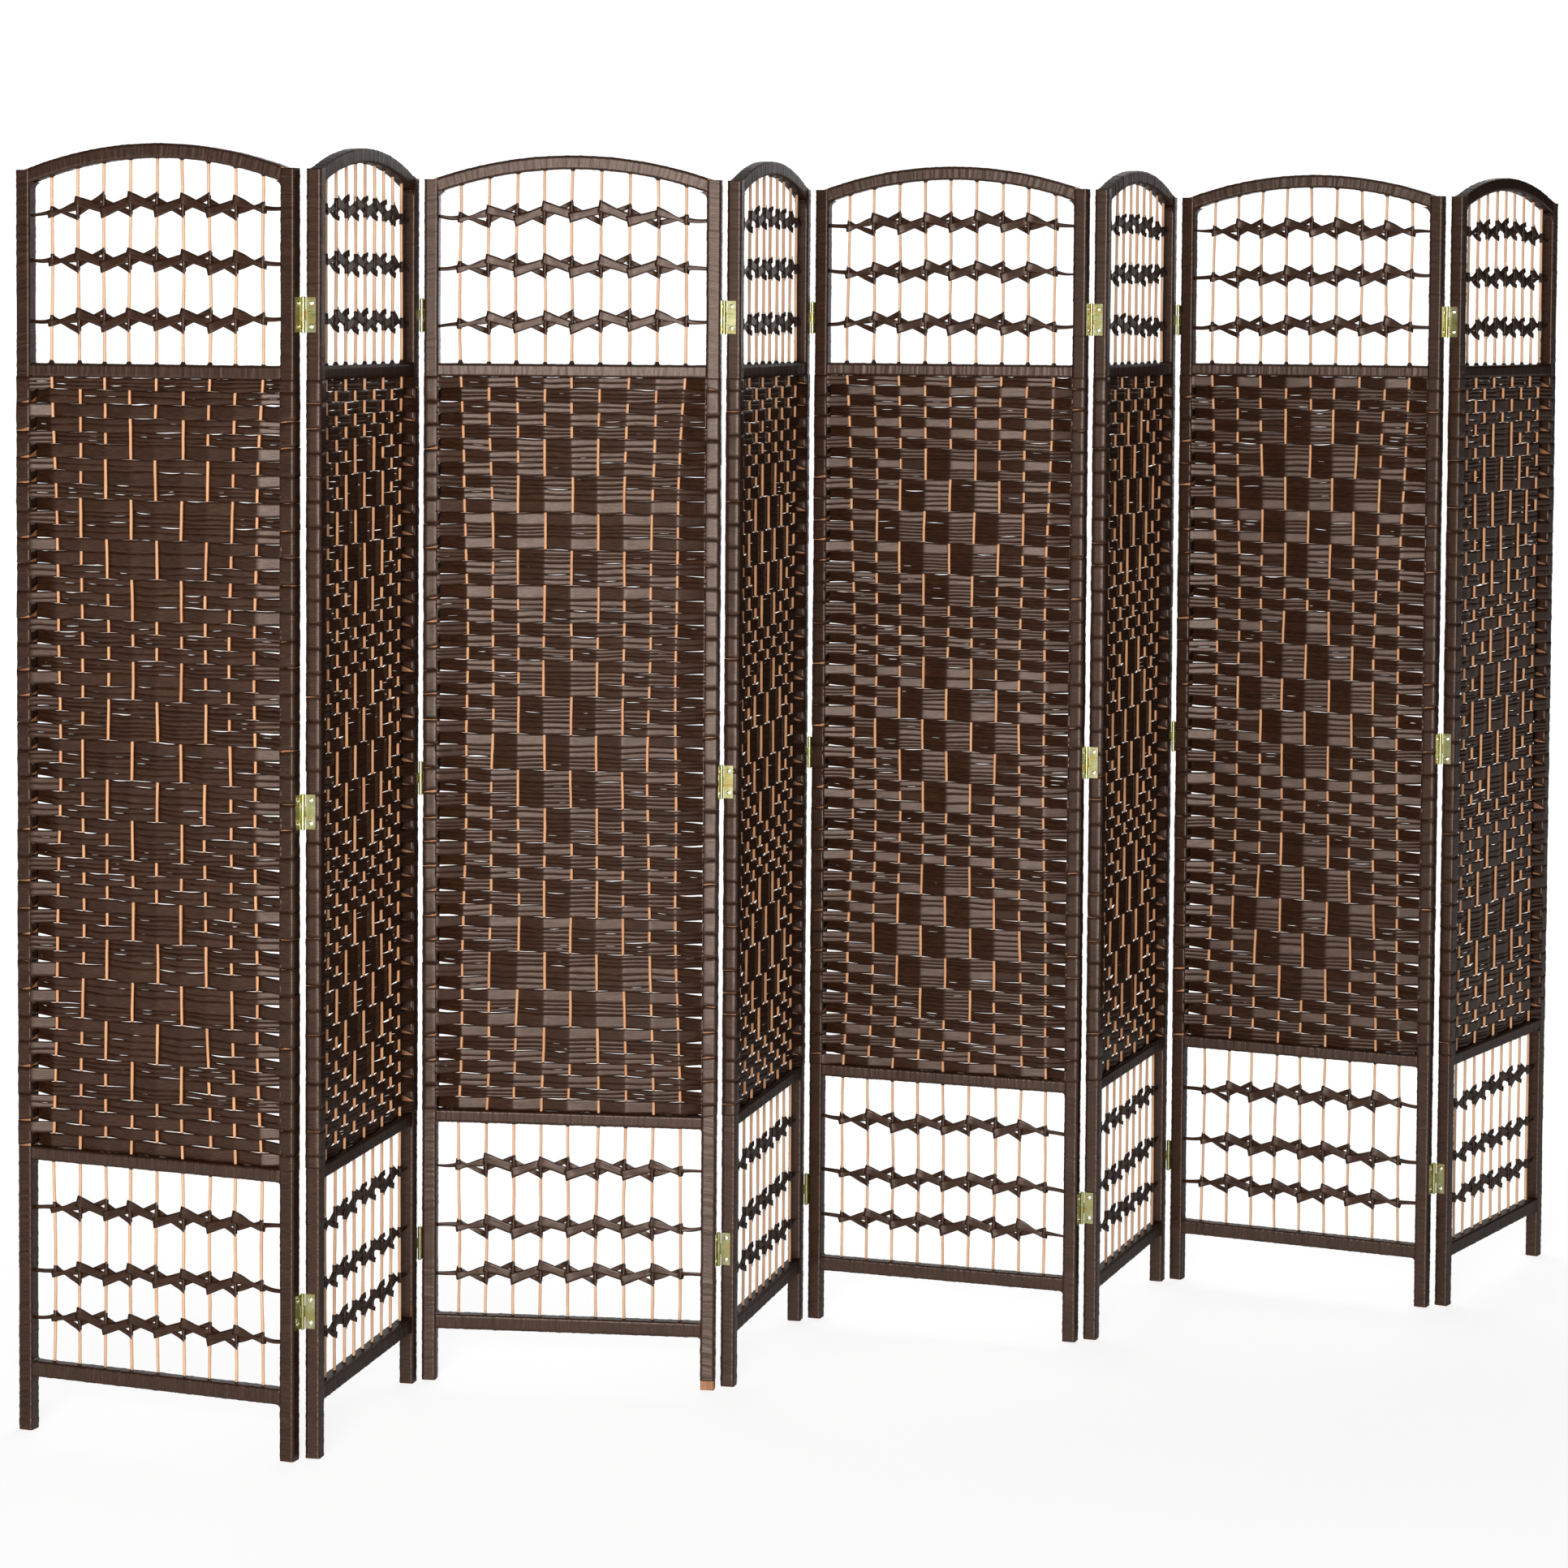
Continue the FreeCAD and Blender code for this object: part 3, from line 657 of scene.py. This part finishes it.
def cane_rods(panel):
    """A panel's canes, from the bottom rail to the arch."""
    skin, rng = Skin(), panel.rng
    for cane in range(1, CANE_COUNT + 1):
        middle_x = STILE + CANE_MARGIN + CANE_SPACING * (cane - 1)
        top = float(arch_height(middle_x, ARCH_INNER_RADIUS)) + CANE_SOCKET
        z = np.linspace(BOTTOM_RAIL_TOP - CANE_SOCKET, top, CANE_POINTS)
        x = panel.cane_x(cane, z) + waves(rng, CANE_WAVES, CANE_WANDER)(z)
        radius = CANE_RADIUS * (1 + waves(rng, GIRTH_WAVES, GIRTH_CHANGE)(z))
        round_piece(skin, rng, x, z, radius, turned=False)
    return skin


# Edges of the two strands of an accent band, (inner, outer) from the band's middle towards the side
# on which the strand in front leaves a cane
FRONT_LEAVES, FRONT_ARRIVES = (0.002, 0.0165), (-0.011, 0.0008)
BACK_LEAVES, BACK_ARRIVES = (-0.011, -0.003), (0.0096, 0.017)
FRONT_FIRST, FRONT_LAST = (0.0005, 0.0085), (-0.0085, -0.0005)
BACK_FIRST, BACK_LAST = (-0.0085, -0.0005), (0.0005, 0.0085)
CROSSING_SHARES = (0, 0.18, 0.82, 1)
FRONT_DEPTHS = (-0.0036, -0.0016, -0.0010, 0.0026)
BACK_DEPTHS = (0.0026, 0.0008, 0.0003, -0.0034)
ACCENT_POINTS, ACCENT_SECTIONS, ACCENT_HEIGHT = 13, 5, 0.014
ACCENT_WAVES, ACCENT_WANDER = (0.03, 0.07), 0.00025
# Where a strand is narrowest along a cell, and by how much: in the first cell, the last and the others
FIRST_WAIST, LAST_WAIST, INNER_WAIST = (0.4, 0.42), (0.62, 0.42), (0.5, 0.12)
WAIST_REACH = 0.22
# A fold's distance from the cane at the band's middle, how much closer its tip is, and the tip's height
FOLD_AWAY, TIP_CLOSER, TIP_HEIGHT = 0.0052, 0.0032, 0.016
INNER_STRAY, OUTER_STRAY, SIDE_STRAY = 0.0009, 0.0014, 0.0005


def accent_strand(skin, rng, first, last, depths, waist_place, waist):
    """A flat ribbon between two edge lines, each ((x, z) of its lower end, (x, z) of its upper end)."""
    share = np.linspace(0, 1, ACCENT_POINTS)
    first, last = np.array(first), np.array(last)
    ends = first[None] + (last - first)[None] * share[:, None, None]
    middle = ends.mean(axis=1, keepdims=True)
    narrow = 1 - waist * np.exp(-(((share - waist_place) / WAIST_REACH) ** 2))
    ends = middle + (ends - middle) * narrow[:, None, None]
    across = np.linspace(0, 1, ACCENT_SECTIONS)
    flat = ends[:, :1] + (ends[:, 1:] - ends[:, :1]) * across[None, :, None]
    run = share * CANE_SPACING
    fold = np.stack([waves(rng, ACCENT_WAVES, ACCENT_WANDER)(run) for _ in across], axis=1)
    depth = np.interp(share, CROSSING_SHARES, depths)[:, None] + fold
    surface = np.stack([flat[:, :, 0], depth, flat[:, :, 1]], axis=-1)
    outward = np.broadcast_to(Y_AXIS, (len(share), 3))
    ribbon(skin, rng, surface, outward, ACCENT_HEIGHT)


def accent_cell(skin, rng, cane, a, b):
    """The two strands between a cane at a (x, z) and the next at b; the front one leaves from its tip."""
    way = 1 if cane % 2 == 0 else -1
    opening, closing = cane == 1, cane == CANE_COUNT - 1
    waist = FIRST_WAIST if opening else LAST_WAIST if closing else INNER_WAIST
    leaving = (FRONT_FIRST, BACK_FIRST) if opening else (FRONT_LEAVES, BACK_LEAVES)
    arriving = (FRONT_LAST, BACK_LAST) if closing else (FRONT_ARRIVES, BACK_ARRIVES)
    for leaves, arrives, depths in zip(leaving, arriving, (FRONT_DEPTHS, BACK_DEPTHS)):
        lines = []
        for post, edges, side in ((a, leaves, -1), (b, arrives, 1)):
            points = []
            for z, stray in zip(edges, (INNER_STRAY, OUTER_STRAY)):
                away = FOLD_AWAY - TIP_CLOSER * min(abs(z) / TIP_HEIGHT, 1)
                x = post[0] + side * away + rng.uniform(-SIDE_STRAY, SIDE_STRAY)
                points.append((x, post[1] + way * (z + rng.uniform(-stray, stray))))
            lines.append(points if way > 0 else points[::-1])
        accent_strand(skin, rng, lines[0], lines[1], depths, *waist)


# Tails of the accent bands: half their height, what is added to it at the cane, and half their thickness
TAIL_POINTS, TAIL_SIDES = 14, 8
TAIL_TALL, TAIL_FLARE, TAIL_THIN, TAIL_GIRTH = 0.0027, 0.001, 0.0009, 0.0015
TAIL_SAG, TAIL_LEAN, TAIL_TWIST, TAIL_RISE = (-0.0008, 0.002), 0.5, 0.9, (-0.005, 0.003)


def accent_tail(skin, rng, a, b):
    """A twisted end of ribbon from the last cane (x, z) to the stile."""
    a, b = np.array([a[0], 0, a[1]]), np.array([b[0], 0, b[1]])
    t = np.linspace(0, 1, TAIL_POINTS)
    path = a + (b - a) * t[:, None]
    path[:, 2] -= np.sin(math.pi * t) * rng.uniform(*TAIL_SAG)
    lean = math.pi / 2 + rng.uniform(-TAIL_LEAN, TAIL_LEAN)
    spin = (lean + t * rng.uniform(-TAIL_TWIST, TAIL_TWIST))[:, None]
    turn = 2 * math.pi * np.arange(TAIL_SIDES) / TAIL_SIDES
    tall = (TAIL_TALL + TAIL_FLARE * (1 - t) ** 3)[:, None] * np.cos(turn)
    thin = TAIL_THIN * np.sin(turn)
    y = path[:, 1:2] + tall * np.cos(spin) - thin * np.sin(spin)
    z = path[:, 2:] + tall * np.sin(spin) + thin * np.cos(spin)
    rings = np.stack([np.broadcast_to(path[:, :1], y.shape), y, z], axis=-1)
    if b[0] < a[0]:
        rings = rings[:, ::-1]
    start = rng.uniform(0, FIBRE_SHIFT, 2)
    run = t * float(np.linalg.norm(b - a))
    skin.tube(rings, run + start[0], TAIL_GIRTH * np.append(turn, 2 * math.pi) + start[1])


# The top band bows up with the arch, about the places where it keeps its height
TOP_BOW, BOW_LEVEL = 0.011, 0.6
BAND_LINE_WAVES, BAND_LINE_WANDER, BAND_SLOPE = (0.2, 0.45), 0.0016, 0.004
# Collars of ribbon round the canes: half their height at the end canes and the others
END_COLLAR, COLLAR, COLLAR_RINGS = 0.0072, 0.0135, 6
COLLAR_RADIUS, COLLAR_STRAY = 0.0026, (-0.0001, 0.0004)


def accent_bands(panel):
    """A panel's bands of two twined ribbons, above and below the field."""
    skin, rng = Skin(), panel.rng
    heights = [(UPPER_RAIL_TOP + h, TOP_BOW if h == max(UPPER_ACCENTS) else 0) for h in UPPER_ACCENTS]
    heights += [(LOWER_OPEN_TOP - d, 0) for d in LOWER_ACCENTS]
    for z, bow in heights:
        uneven = waves(rng, BAND_LINE_WAVES, BAND_LINE_WANDER)
        slope = rng.uniform(-BAND_SLOPE, BAND_SLOPE)
        posts = []
        for cane in range(1, CANE_COUNT + 1):
            x = float(panel.cane_x(cane, z))
            away = (x - MIDDLE) / MIDDLE
            posts.append((x, z + bow * (BOW_LEVEL - away**2) + slope * away + float(uneven(x))))
        for cane, (x, height) in enumerate(posts, 1):
            reach = END_COLLAR if cane in (1, CANE_COUNT) else COLLAR
            collar = height + np.linspace(-reach, reach, COLLAR_RINGS)
            radii = COLLAR_RADIUS + rng.uniform(*COLLAR_STRAY, COLLAR_RINGS)
            round_piece(skin, rng, x, collar, radii)
        for cane in range(1, CANE_COUNT):
            accent_cell(skin, rng, cane, posts[cane - 1], posts[cane])
        for (x, height), stile in ((posts[0], STILE), (posts[-1], PANEL_WIDTH - STILE)):
            accent_tail(skin, rng, (x, height), (stile, height + rng.uniform(*TAIL_RISE)))
    return skin


class Nodes:
    """A short way to write a material's nodes."""

    def __init__(self, name):
        self.material = bpy.data.materials.new(name)
        self.material.use_nodes = True
        self.tree = self.material.node_tree
        self.tree.nodes.clear()

    def put(self, socket, value):
        """Link a socket, or set its constant."""
        if isinstance(value, bpy.types.NodeSocket):
            self.tree.links.new(value, socket)
        else:
            socket.default_value = value

    def add(self, kind, inputs=None, **settings):
        node = self.tree.nodes.new(kind)
        for key, value in settings.items():
            setattr(node, key, value)
        for key, value in (inputs or {}).items():
            self.put(node.inputs[key], value)
        return node

    def mapped(self, source, scale):
        return self.add("ShaderNodeMapping", {"Vector": source, "Scale": scale}).outputs["Vector"]

    def noise(self, vector, scale, detail=2.0, roughness=0.5, distortion=0.0):
        inputs = {"Vector": vector, "Scale": scale, "Detail": detail, "Roughness": roughness}
        return self.add("ShaderNodeTexNoise", {**inputs, "Distortion": distortion}).outputs["Fac"]

    def maths(self, kind, a, b):
        return self.add("ShaderNodeMath", {0: a, 1: b}, operation=kind).outputs[0]

    def ramp(self, factor, stops):
        node = self.add("ShaderNodeValToRGB", {"Fac": factor})
        points = node.color_ramp.elements
        while len(points) < len(stops):
            points.new(0.5)
        for point, (position, colour) in zip(points, stops):
            point.position = position
            point.color = (*colour, 1)
        return node.outputs["Color"]

    def span(self, value, low, high, to_low, to_high):
        inputs = {"Value": value, "From Min": low, "From Max": high, "To Min": to_low, "To Max": to_high}
        return self.add("ShaderNodeMapRange", inputs).outputs["Result"]

    def tinted(self, colour, shade):
        node = self.add("ShaderNodeMix", data_type="RGBA", blend_type="MULTIPLY")
        for socket, value in ((node.inputs[0], 1.0), (node.inputs[6], colour), (node.inputs[7], shade)):
            self.put(socket, value)
        return node.outputs[2]

    def bump(self, height, strength, distance):
        inputs = {"Height": height, "Strength": strength, "Distance": distance}
        return self.add("ShaderNodeBump", inputs).outputs["Normal"]

    def finish(self, shader):
        output = self.add("ShaderNodeOutputMaterial")
        self.tree.links.new(shader, output.inputs["Surface"])
        return self.material


# Noise scales along and across the fibres, for each metre of ribbon
STRAND_SCALE, HAIR_SCALE, PATCH_SCALE = (55, 1000, 1), (120, 2600, 1), (5, 45, 1)
FIBRE_RANGE = (0.37, 0.62)
DULL_SHARE = 0.75
RIBBON_ROUGH, RIBBON_SMOOTH = 0.42, 0.36
RIBBON_TINT = (1.0, 0.8, 0.69, 1.0)
# Facing weights between which the gloss falls off, and the share that is left at a flat angle
GLOSS_FALL, FLAT_GLOSS = (0.12, 0.66), 0.06
FIBRE_DEPTH = 0.0003


def ribbon_material(name, tones, streaks, shine):
    """Flattened twisted-paper ribbon: fine fibres along it, satin where it is pulled tight."""
    n = Nodes(name)
    fibre = n.add("ShaderNodeUVMap", uv_map="Fibre").outputs["UV"]
    strands = n.noise(n.mapped(fibre, STRAND_SCALE), 1.0, 2.0, 0.55)
    hairs = n.noise(n.mapped(fibre, HAIR_SCALE), 1.0, 2.0, 0.6)
    patch = n.noise(n.mapped(fibre, PATCH_SCALE), 1.0, 1.0)
    fibres = n.maths("ADD", n.maths("MULTIPLY", strands, 0.5), n.maths("MULTIPLY", hairs, 0.5))
    light = n.span(fibres, *FIBRE_RANGE, 0.0, 1.0)
    colour = n.ramp(light, tuple(zip((0.0, 0.5, 1.0), tones)))
    shade = n.ramp(patch, ((0.3, (0.8, 0.77, 0.75)), (0.7, (1.16, 1.13, 1.1))))
    # the rough fibres hide each other at a flat angle, so the gloss falls off there
    facing = n.add("ShaderNodeLayerWeight", {"Blend": 0.5}).outputs["Facing"]
    fall = n.span(facing, *GLOSS_FALL, 1.0, FLAT_GLOSS)
    gloss = n.maths("MULTIPLY", n.span(light, 0.0, 1.0, DULL_SHARE * shine, shine), fall)
    tangent = n.add("ShaderNodeTangent", direction_type="UV_MAP", uv_map="Fibre").outputs["Tangent"]
    shader = n.add(
        "ShaderNodeBsdfPrincipled",
        {
            "Base Color": n.tinted(colour, shade),
            "Roughness": n.span(light, 0.0, 1.0, RIBBON_ROUGH, RIBBON_SMOOTH),
            "Specular IOR Level": gloss,
            "Specular Tint": RIBBON_TINT,
            # a sheen that spreads across the fibres
            "Anisotropic": 0.5,
            "Anisotropic Rotation": 0.25,
            "Tangent": tangent,
            "Normal": n.bump(fibres, streaks, FIBRE_DEPTH),
        },
    )
    return n.finish(shader.outputs["BSDF"])


# How far the change from browner cane in the field to paler open cane (painted light of the white surround)
# reaches into the field and past its edge
BLEED_FADE_INSIDE, BLEED_FADE_OUTSIDE = 0.02, 0.03


def cane_material():
    """Peeled cane, browner within the field and paler above and below it; the paleness is painted light
    from the white surround.
    """
    n = Nodes("cane")
    fibre = n.add("ShaderNodeUVMap", uv_map="Fibre").outputs["UV"]
    place = n.add("ShaderNodeTexCoord").outputs["Object"]
    height = n.add("ShaderNodeSeparateXYZ", {"Vector": place}).outputs["Z"]
    above = n.span(height, FIELD_TOP - BLEED_FADE_INSIDE, FIELD_TOP + BLEED_FADE_OUTSIDE, 0.0, 1.0)
    below = n.span(height, FIELD_BOTTOM + BLEED_FADE_INSIDE, FIELD_BOTTOM - BLEED_FADE_OUTSIDE, 0.0, 1.0)
    # painted light: canes outside the field are made paler and cooler, standing in for the white surround's
    # light, while those in the field stay browner
    painted_bleed = n.maths("MAXIMUM", above, below)
    bleed_tint = n.ramp(painted_bleed, ((0.0, (0.93, 0.8, 0.68)), (1.0, (1.03, 1.06, 1.1))))
    grain = n.noise(n.mapped(fibre, (14, 1500, 1)), 1.0, 3.0, 0.6)
    patch = n.noise(n.mapped(fibre, (9, 40, 1)), 1.0, 2.0)
    stops = ((0.25, (0.62, 0.32, 0.16)), (0.5, (0.78, 0.46, 0.26)), (0.8, (0.88, 0.6, 0.39)))
    shade = n.ramp(patch, ((0.35, (0.9, 0.8, 0.77)), (0.62, (1.06, 1.04, 1.0))))
    colour = n.tinted(n.tinted(n.ramp(grain, stops), shade), bleed_tint)
    rough = n.span(patch, 0.3, 0.7, 0.38, 0.54)
    normal = n.bump(grain, 0.3, 0.0002)
    shader = n.add("ShaderNodeBsdfPrincipled", {"Base Color": colour, "Roughness": rough, "Normal": normal})
    return n.finish(shader.outputs["BSDF"])


def wood_material():
    """Bare batten, seen at the feet and between the turns of ribbon."""
    n = Nodes("bare_batten")
    place = n.add("ShaderNodeTexCoord").outputs["Object"]
    grain = n.noise(n.mapped(place, (420, 420, 18)), 1.0, 3.0, 0.6, 0.3)
    patch = n.noise(place, 14.0, 2.0)
    stops = ((0.25, (0.27, 0.105, 0.04)), (0.55, (0.42, 0.19, 0.085)), (0.8, (0.52, 0.27, 0.13)))
    shade = n.ramp(patch, ((0.3, (0.8, 0.76, 0.74)), (0.7, (1.08, 1.04, 1.0))))
    colour = n.tinted(n.ramp(grain, stops), shade)
    rough = n.span(grain, 0.2, 0.8, 0.7, 0.5)
    normal = n.bump(grain, 0.35, 0.0003)
    shader = n.add("ShaderNodeBsdfPrincipled", {"Base Color": colour, "Roughness": rough, "Normal": normal})
    return n.finish(shader.outputs["BSDF"])


def metal_material(name, tones, rough_low, rough_high, stretch):
    """Plated sheet metal with faint drawn lines and cloudy plating."""
    n = Nodes(name)
    place = n.add("ShaderNodeTexCoord").outputs["Object"]
    lines = n.noise(n.mapped(place, stretch), 1.0, 2.0)
    cloud = n.noise(place, 70.0, 3.0)
    colour = n.ramp(cloud, tuple(zip((0.32, 0.5, 0.68), tones)))
    rough = n.span(lines, 0.3, 0.7, rough_low, rough_high)
    normal = n.bump(lines, 0.12, 0.0001)
    inputs = {"Base Color": colour, "Roughness": rough, "Normal": normal, "Metallic": 1.0}
    return n.finish(n.add("ShaderNodeBsdfPrincipled", inputs).outputs["BSDF"])


# Distances from the part between which the stage's glow rises to white
GLOW_REACH = (1.7, 3.2)


def stage_material(name, colour, near_glow, one_sided=False):
    """Pale studio surface, lit by the lamps, with a glow of its own where it is looked at."""
    n = Nodes(name)
    path = n.add("ShaderNodeLightPath").outputs
    seen = n.maths("MAXIMUM", path["Is Camera Ray"], path["Is Glossy Ray"])
    seen = n.maths("MAXIMUM", seen, path["Is Transmission Ray"])
    place = n.add("ShaderNodeTexCoord").outputs["Object"]
    away = n.add("ShaderNodeVectorMath", {0: place}, operation="LENGTH").outputs["Value"]
    glow = n.span(away, *GLOW_REACH, near_glow, 1.0)
    matt = n.add("ShaderNodeBsdfDiffuse", {"Color": (*colour, 1)})
    strength = n.maths("MULTIPLY", seen, glow)
    own = n.add("ShaderNodeEmission", {"Color": (1, 1, 1, 1), "Strength": strength})
    surface = n.add("ShaderNodeAddShader", {0: matt.outputs[0], 1: own.outputs[0]}).outputs[0]
    if one_sided:
        back = n.add("ShaderNodeNewGeometry").outputs["Backfacing"]
        clear = n.add("ShaderNodeBsdfTransparent").outputs[0]
        surface = n.add("ShaderNodeMixShader", {0: back, 1: surface, 2: clear}).outputs[0]
    return n.finish(surface)


WOVEN_TONES = ((0.0125, 0.0045, 0.0021), (0.0295, 0.0114, 0.0055), (0.056, 0.0262, 0.0145))
WRAP_TONES = ((0.0105, 0.0038, 0.0018), (0.0265, 0.0104, 0.0052), (0.056, 0.0275, 0.016))
BRASS_TONES = ((0.31, 0.23, 0.08), (0.28, 0.29, 0.13), (0.4, 0.35, 0.21))
STEEL_TONES = ((0.6, 0.57, 0.48), (0.72, 0.69, 0.6), (0.86, 0.83, 0.74))
woven_ribbon = ribbon_material("paper_ribbon", WOVEN_TONES, 0.5, 0.5)
wrap_ribbon = ribbon_material("wrap_ribbon", WRAP_TONES, 0.7, 0.55)
cane_finish = cane_material()
wood_finish = wood_material()
brass_finish = metal_material("hinge_plating", BRASS_TONES, 0.24, 0.36, (60, 60, 900))
screw_finish = metal_material("screw_plating", STEEL_TONES, 0.16, 0.3, (500, 500, 500))

CAD_FINISH = {
    "frame": wood_finish,
    "arch": wood_finish,
    "leaves": brass_finish,
    "pins": brass_finish,
    "screws": screw_finish,
}
for node, obj in frame["nodes"].items():
    finish = CAD_FINISH.get(node.split("_")[0])
    if finish:
        obj.data.materials.clear()
        obj.data.materials.append(finish)

# Each panel's pieces: name, maker, material, slot and the node that it replaces
PIECES = (
    ("woven_field", woven_field, woven_ribbon, "paper_ribbon", "weave"),
    ("accent_bands", accent_bands, woven_ribbon, "paper_ribbon", "accents"),
    ("cane_rods", cane_rods, cane_finish, "cane", "canes"),
    ("wraps", wraps, wrap_ribbon, "wrapped_batten", None),
)
for n in range(len(HEADINGS)):
    panel = Panel(n)
    matrix = panel.matrix()
    for name, make, material, slot, node in PIECES:
        piece = make(panel).build(f"{name}_{n + 1}", matrix, material)
        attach(piece, panel.name)
        if node:
            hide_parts(f"{node}_{n + 1}")

# Camera, solved from the photograph's stile ends
CAMERA_PLACE = Vector((-2.7389, -5.2376, 1.4857))
CAMERA_TURN = math.radians(26.226)
CAMERA_PITCH = math.radians(3)
CAMERA_ROLL = math.radians(0.396)
SENSOR, LENS, SHIFT = 36, 95.35, -0.1612
camera_data = bpy.data.cameras.new("camera")
camera_data.sensor_width = SENSOR
camera_data.lens = LENS
camera_data.shift_y = SHIFT
camera = bpy.data.objects.new("camera", camera_data)
bpy.context.scene.collection.objects.link(camera)
ahead = Vector((math.sin(CAMERA_TURN), math.cos(CAMERA_TURN), 0))
right = Vector((math.cos(CAMERA_TURN), -math.sin(CAMERA_TURN), 0))
up = Vector((0, 0, 1))
looking = ahead * math.cos(CAMERA_PITCH) - up * math.sin(CAMERA_PITCH)
over = right.cross(looking)
side = right * math.cos(CAMERA_ROLL) + over * math.sin(CAMERA_ROLL)
over = over * math.cos(CAMERA_ROLL) - right * math.sin(CAMERA_ROLL)
camera_axes = Matrix((side, over, -looking)).transposed().to_4x4()
camera.matrix_world = Matrix.Translation(CAMERA_PLACE) @ camera_axes
bpy.context.scene.camera = camera


def quad(name, corners, material):
    """A flat piece of the stage."""
    mesh = bpy.data.meshes.new(name)
    mesh.from_pydata([tuple(c) for c in corners], [], [(0, 1, 2, 3)])
    mesh.materials.append(material)
    obj = bpy.data.objects.new(name, mesh)
    bpy.context.scene.collection.objects.link(obj)
    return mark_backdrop(obj)


FLOOR_REACH = 30
BACKDROP_AWAY, BACKDROP_REACH, BACKDROP_HEIGHT = 2.6, 2.4, 8
floor_finish = stage_material("floor", (0.4, 0.4, 0.4), 0.8)
# The backdrop is clear from its back, so that it hides nothing in the views from behind
backdrop_finish = stage_material("backdrop", (0.2, 0.2, 0.2), 1.0, one_sided=True)
floor_corners = [(x * FLOOR_REACH, y * FLOOR_REACH, 0) for x, y in ((-1, -1), (1, -1), (1, 1), (-1, 1))]
quad("floor", floor_corners, floor_finish)
backdrop_foot = [ahead * BACKDROP_AWAY + right * reach for reach in (-BACKDROP_REACH, BACKDROP_REACH)]
backdrop_top = [corner + up * BACKDROP_HEIGHT for corner in reversed(backdrop_foot)]
quad("backdrop", (*backdrop_foot, *backdrop_top), backdrop_finish)


def area_light(name, place, width, height, power):
    """A soft lamp turned to the middle of the part, with its size in metres and its power in watts."""
    data = bpy.data.lights.new(name, "AREA")
    data.shape = "RECTANGLE"
    data.size, data.size_y = width, height
    data.energy = power
    obj = bpy.data.objects.new(name, data)
    obj.location = place
    obj.rotation_euler = (AIM - place).to_track_quat("-Z", "Y").to_euler()
    bpy.context.scene.collection.objects.link(obj)


AIM = Vector((0, 0, 0.9))
KEY_LEFT, KEY_BACK, KEY_HEIGHT = 0.8, 0.3, 1.25
OVERHEAD_PLACE = Vector((0, 0.2, 4.2))
BACK_AWAY, BACK_HEIGHT = 2.4, 1.7
WORLD_STRENGTH = 0.06
key_place = CAMERA_PLACE - right * KEY_LEFT - ahead * KEY_BACK
key_place.z = KEY_HEIGHT
area_light("key", key_place, 2.3, 2.2, 390)
area_light("overhead", OVERHEAD_PLACE, 4.0, 3.0, 14)
area_light("back", ahead * BACK_AWAY + up * BACK_HEIGHT, 3.4, 1.8, 50)

world = bpy.data.worlds.new("studio")
world.use_nodes = True
background = world.node_tree.nodes["Background"]
background.inputs["Color"].default_value = (1, 1, 1, 1)
background.inputs["Strength"].default_value = WORLD_STRENGTH
bpy.context.scene.world = world
bpy.context.scene.view_settings.view_transform = "Standard"
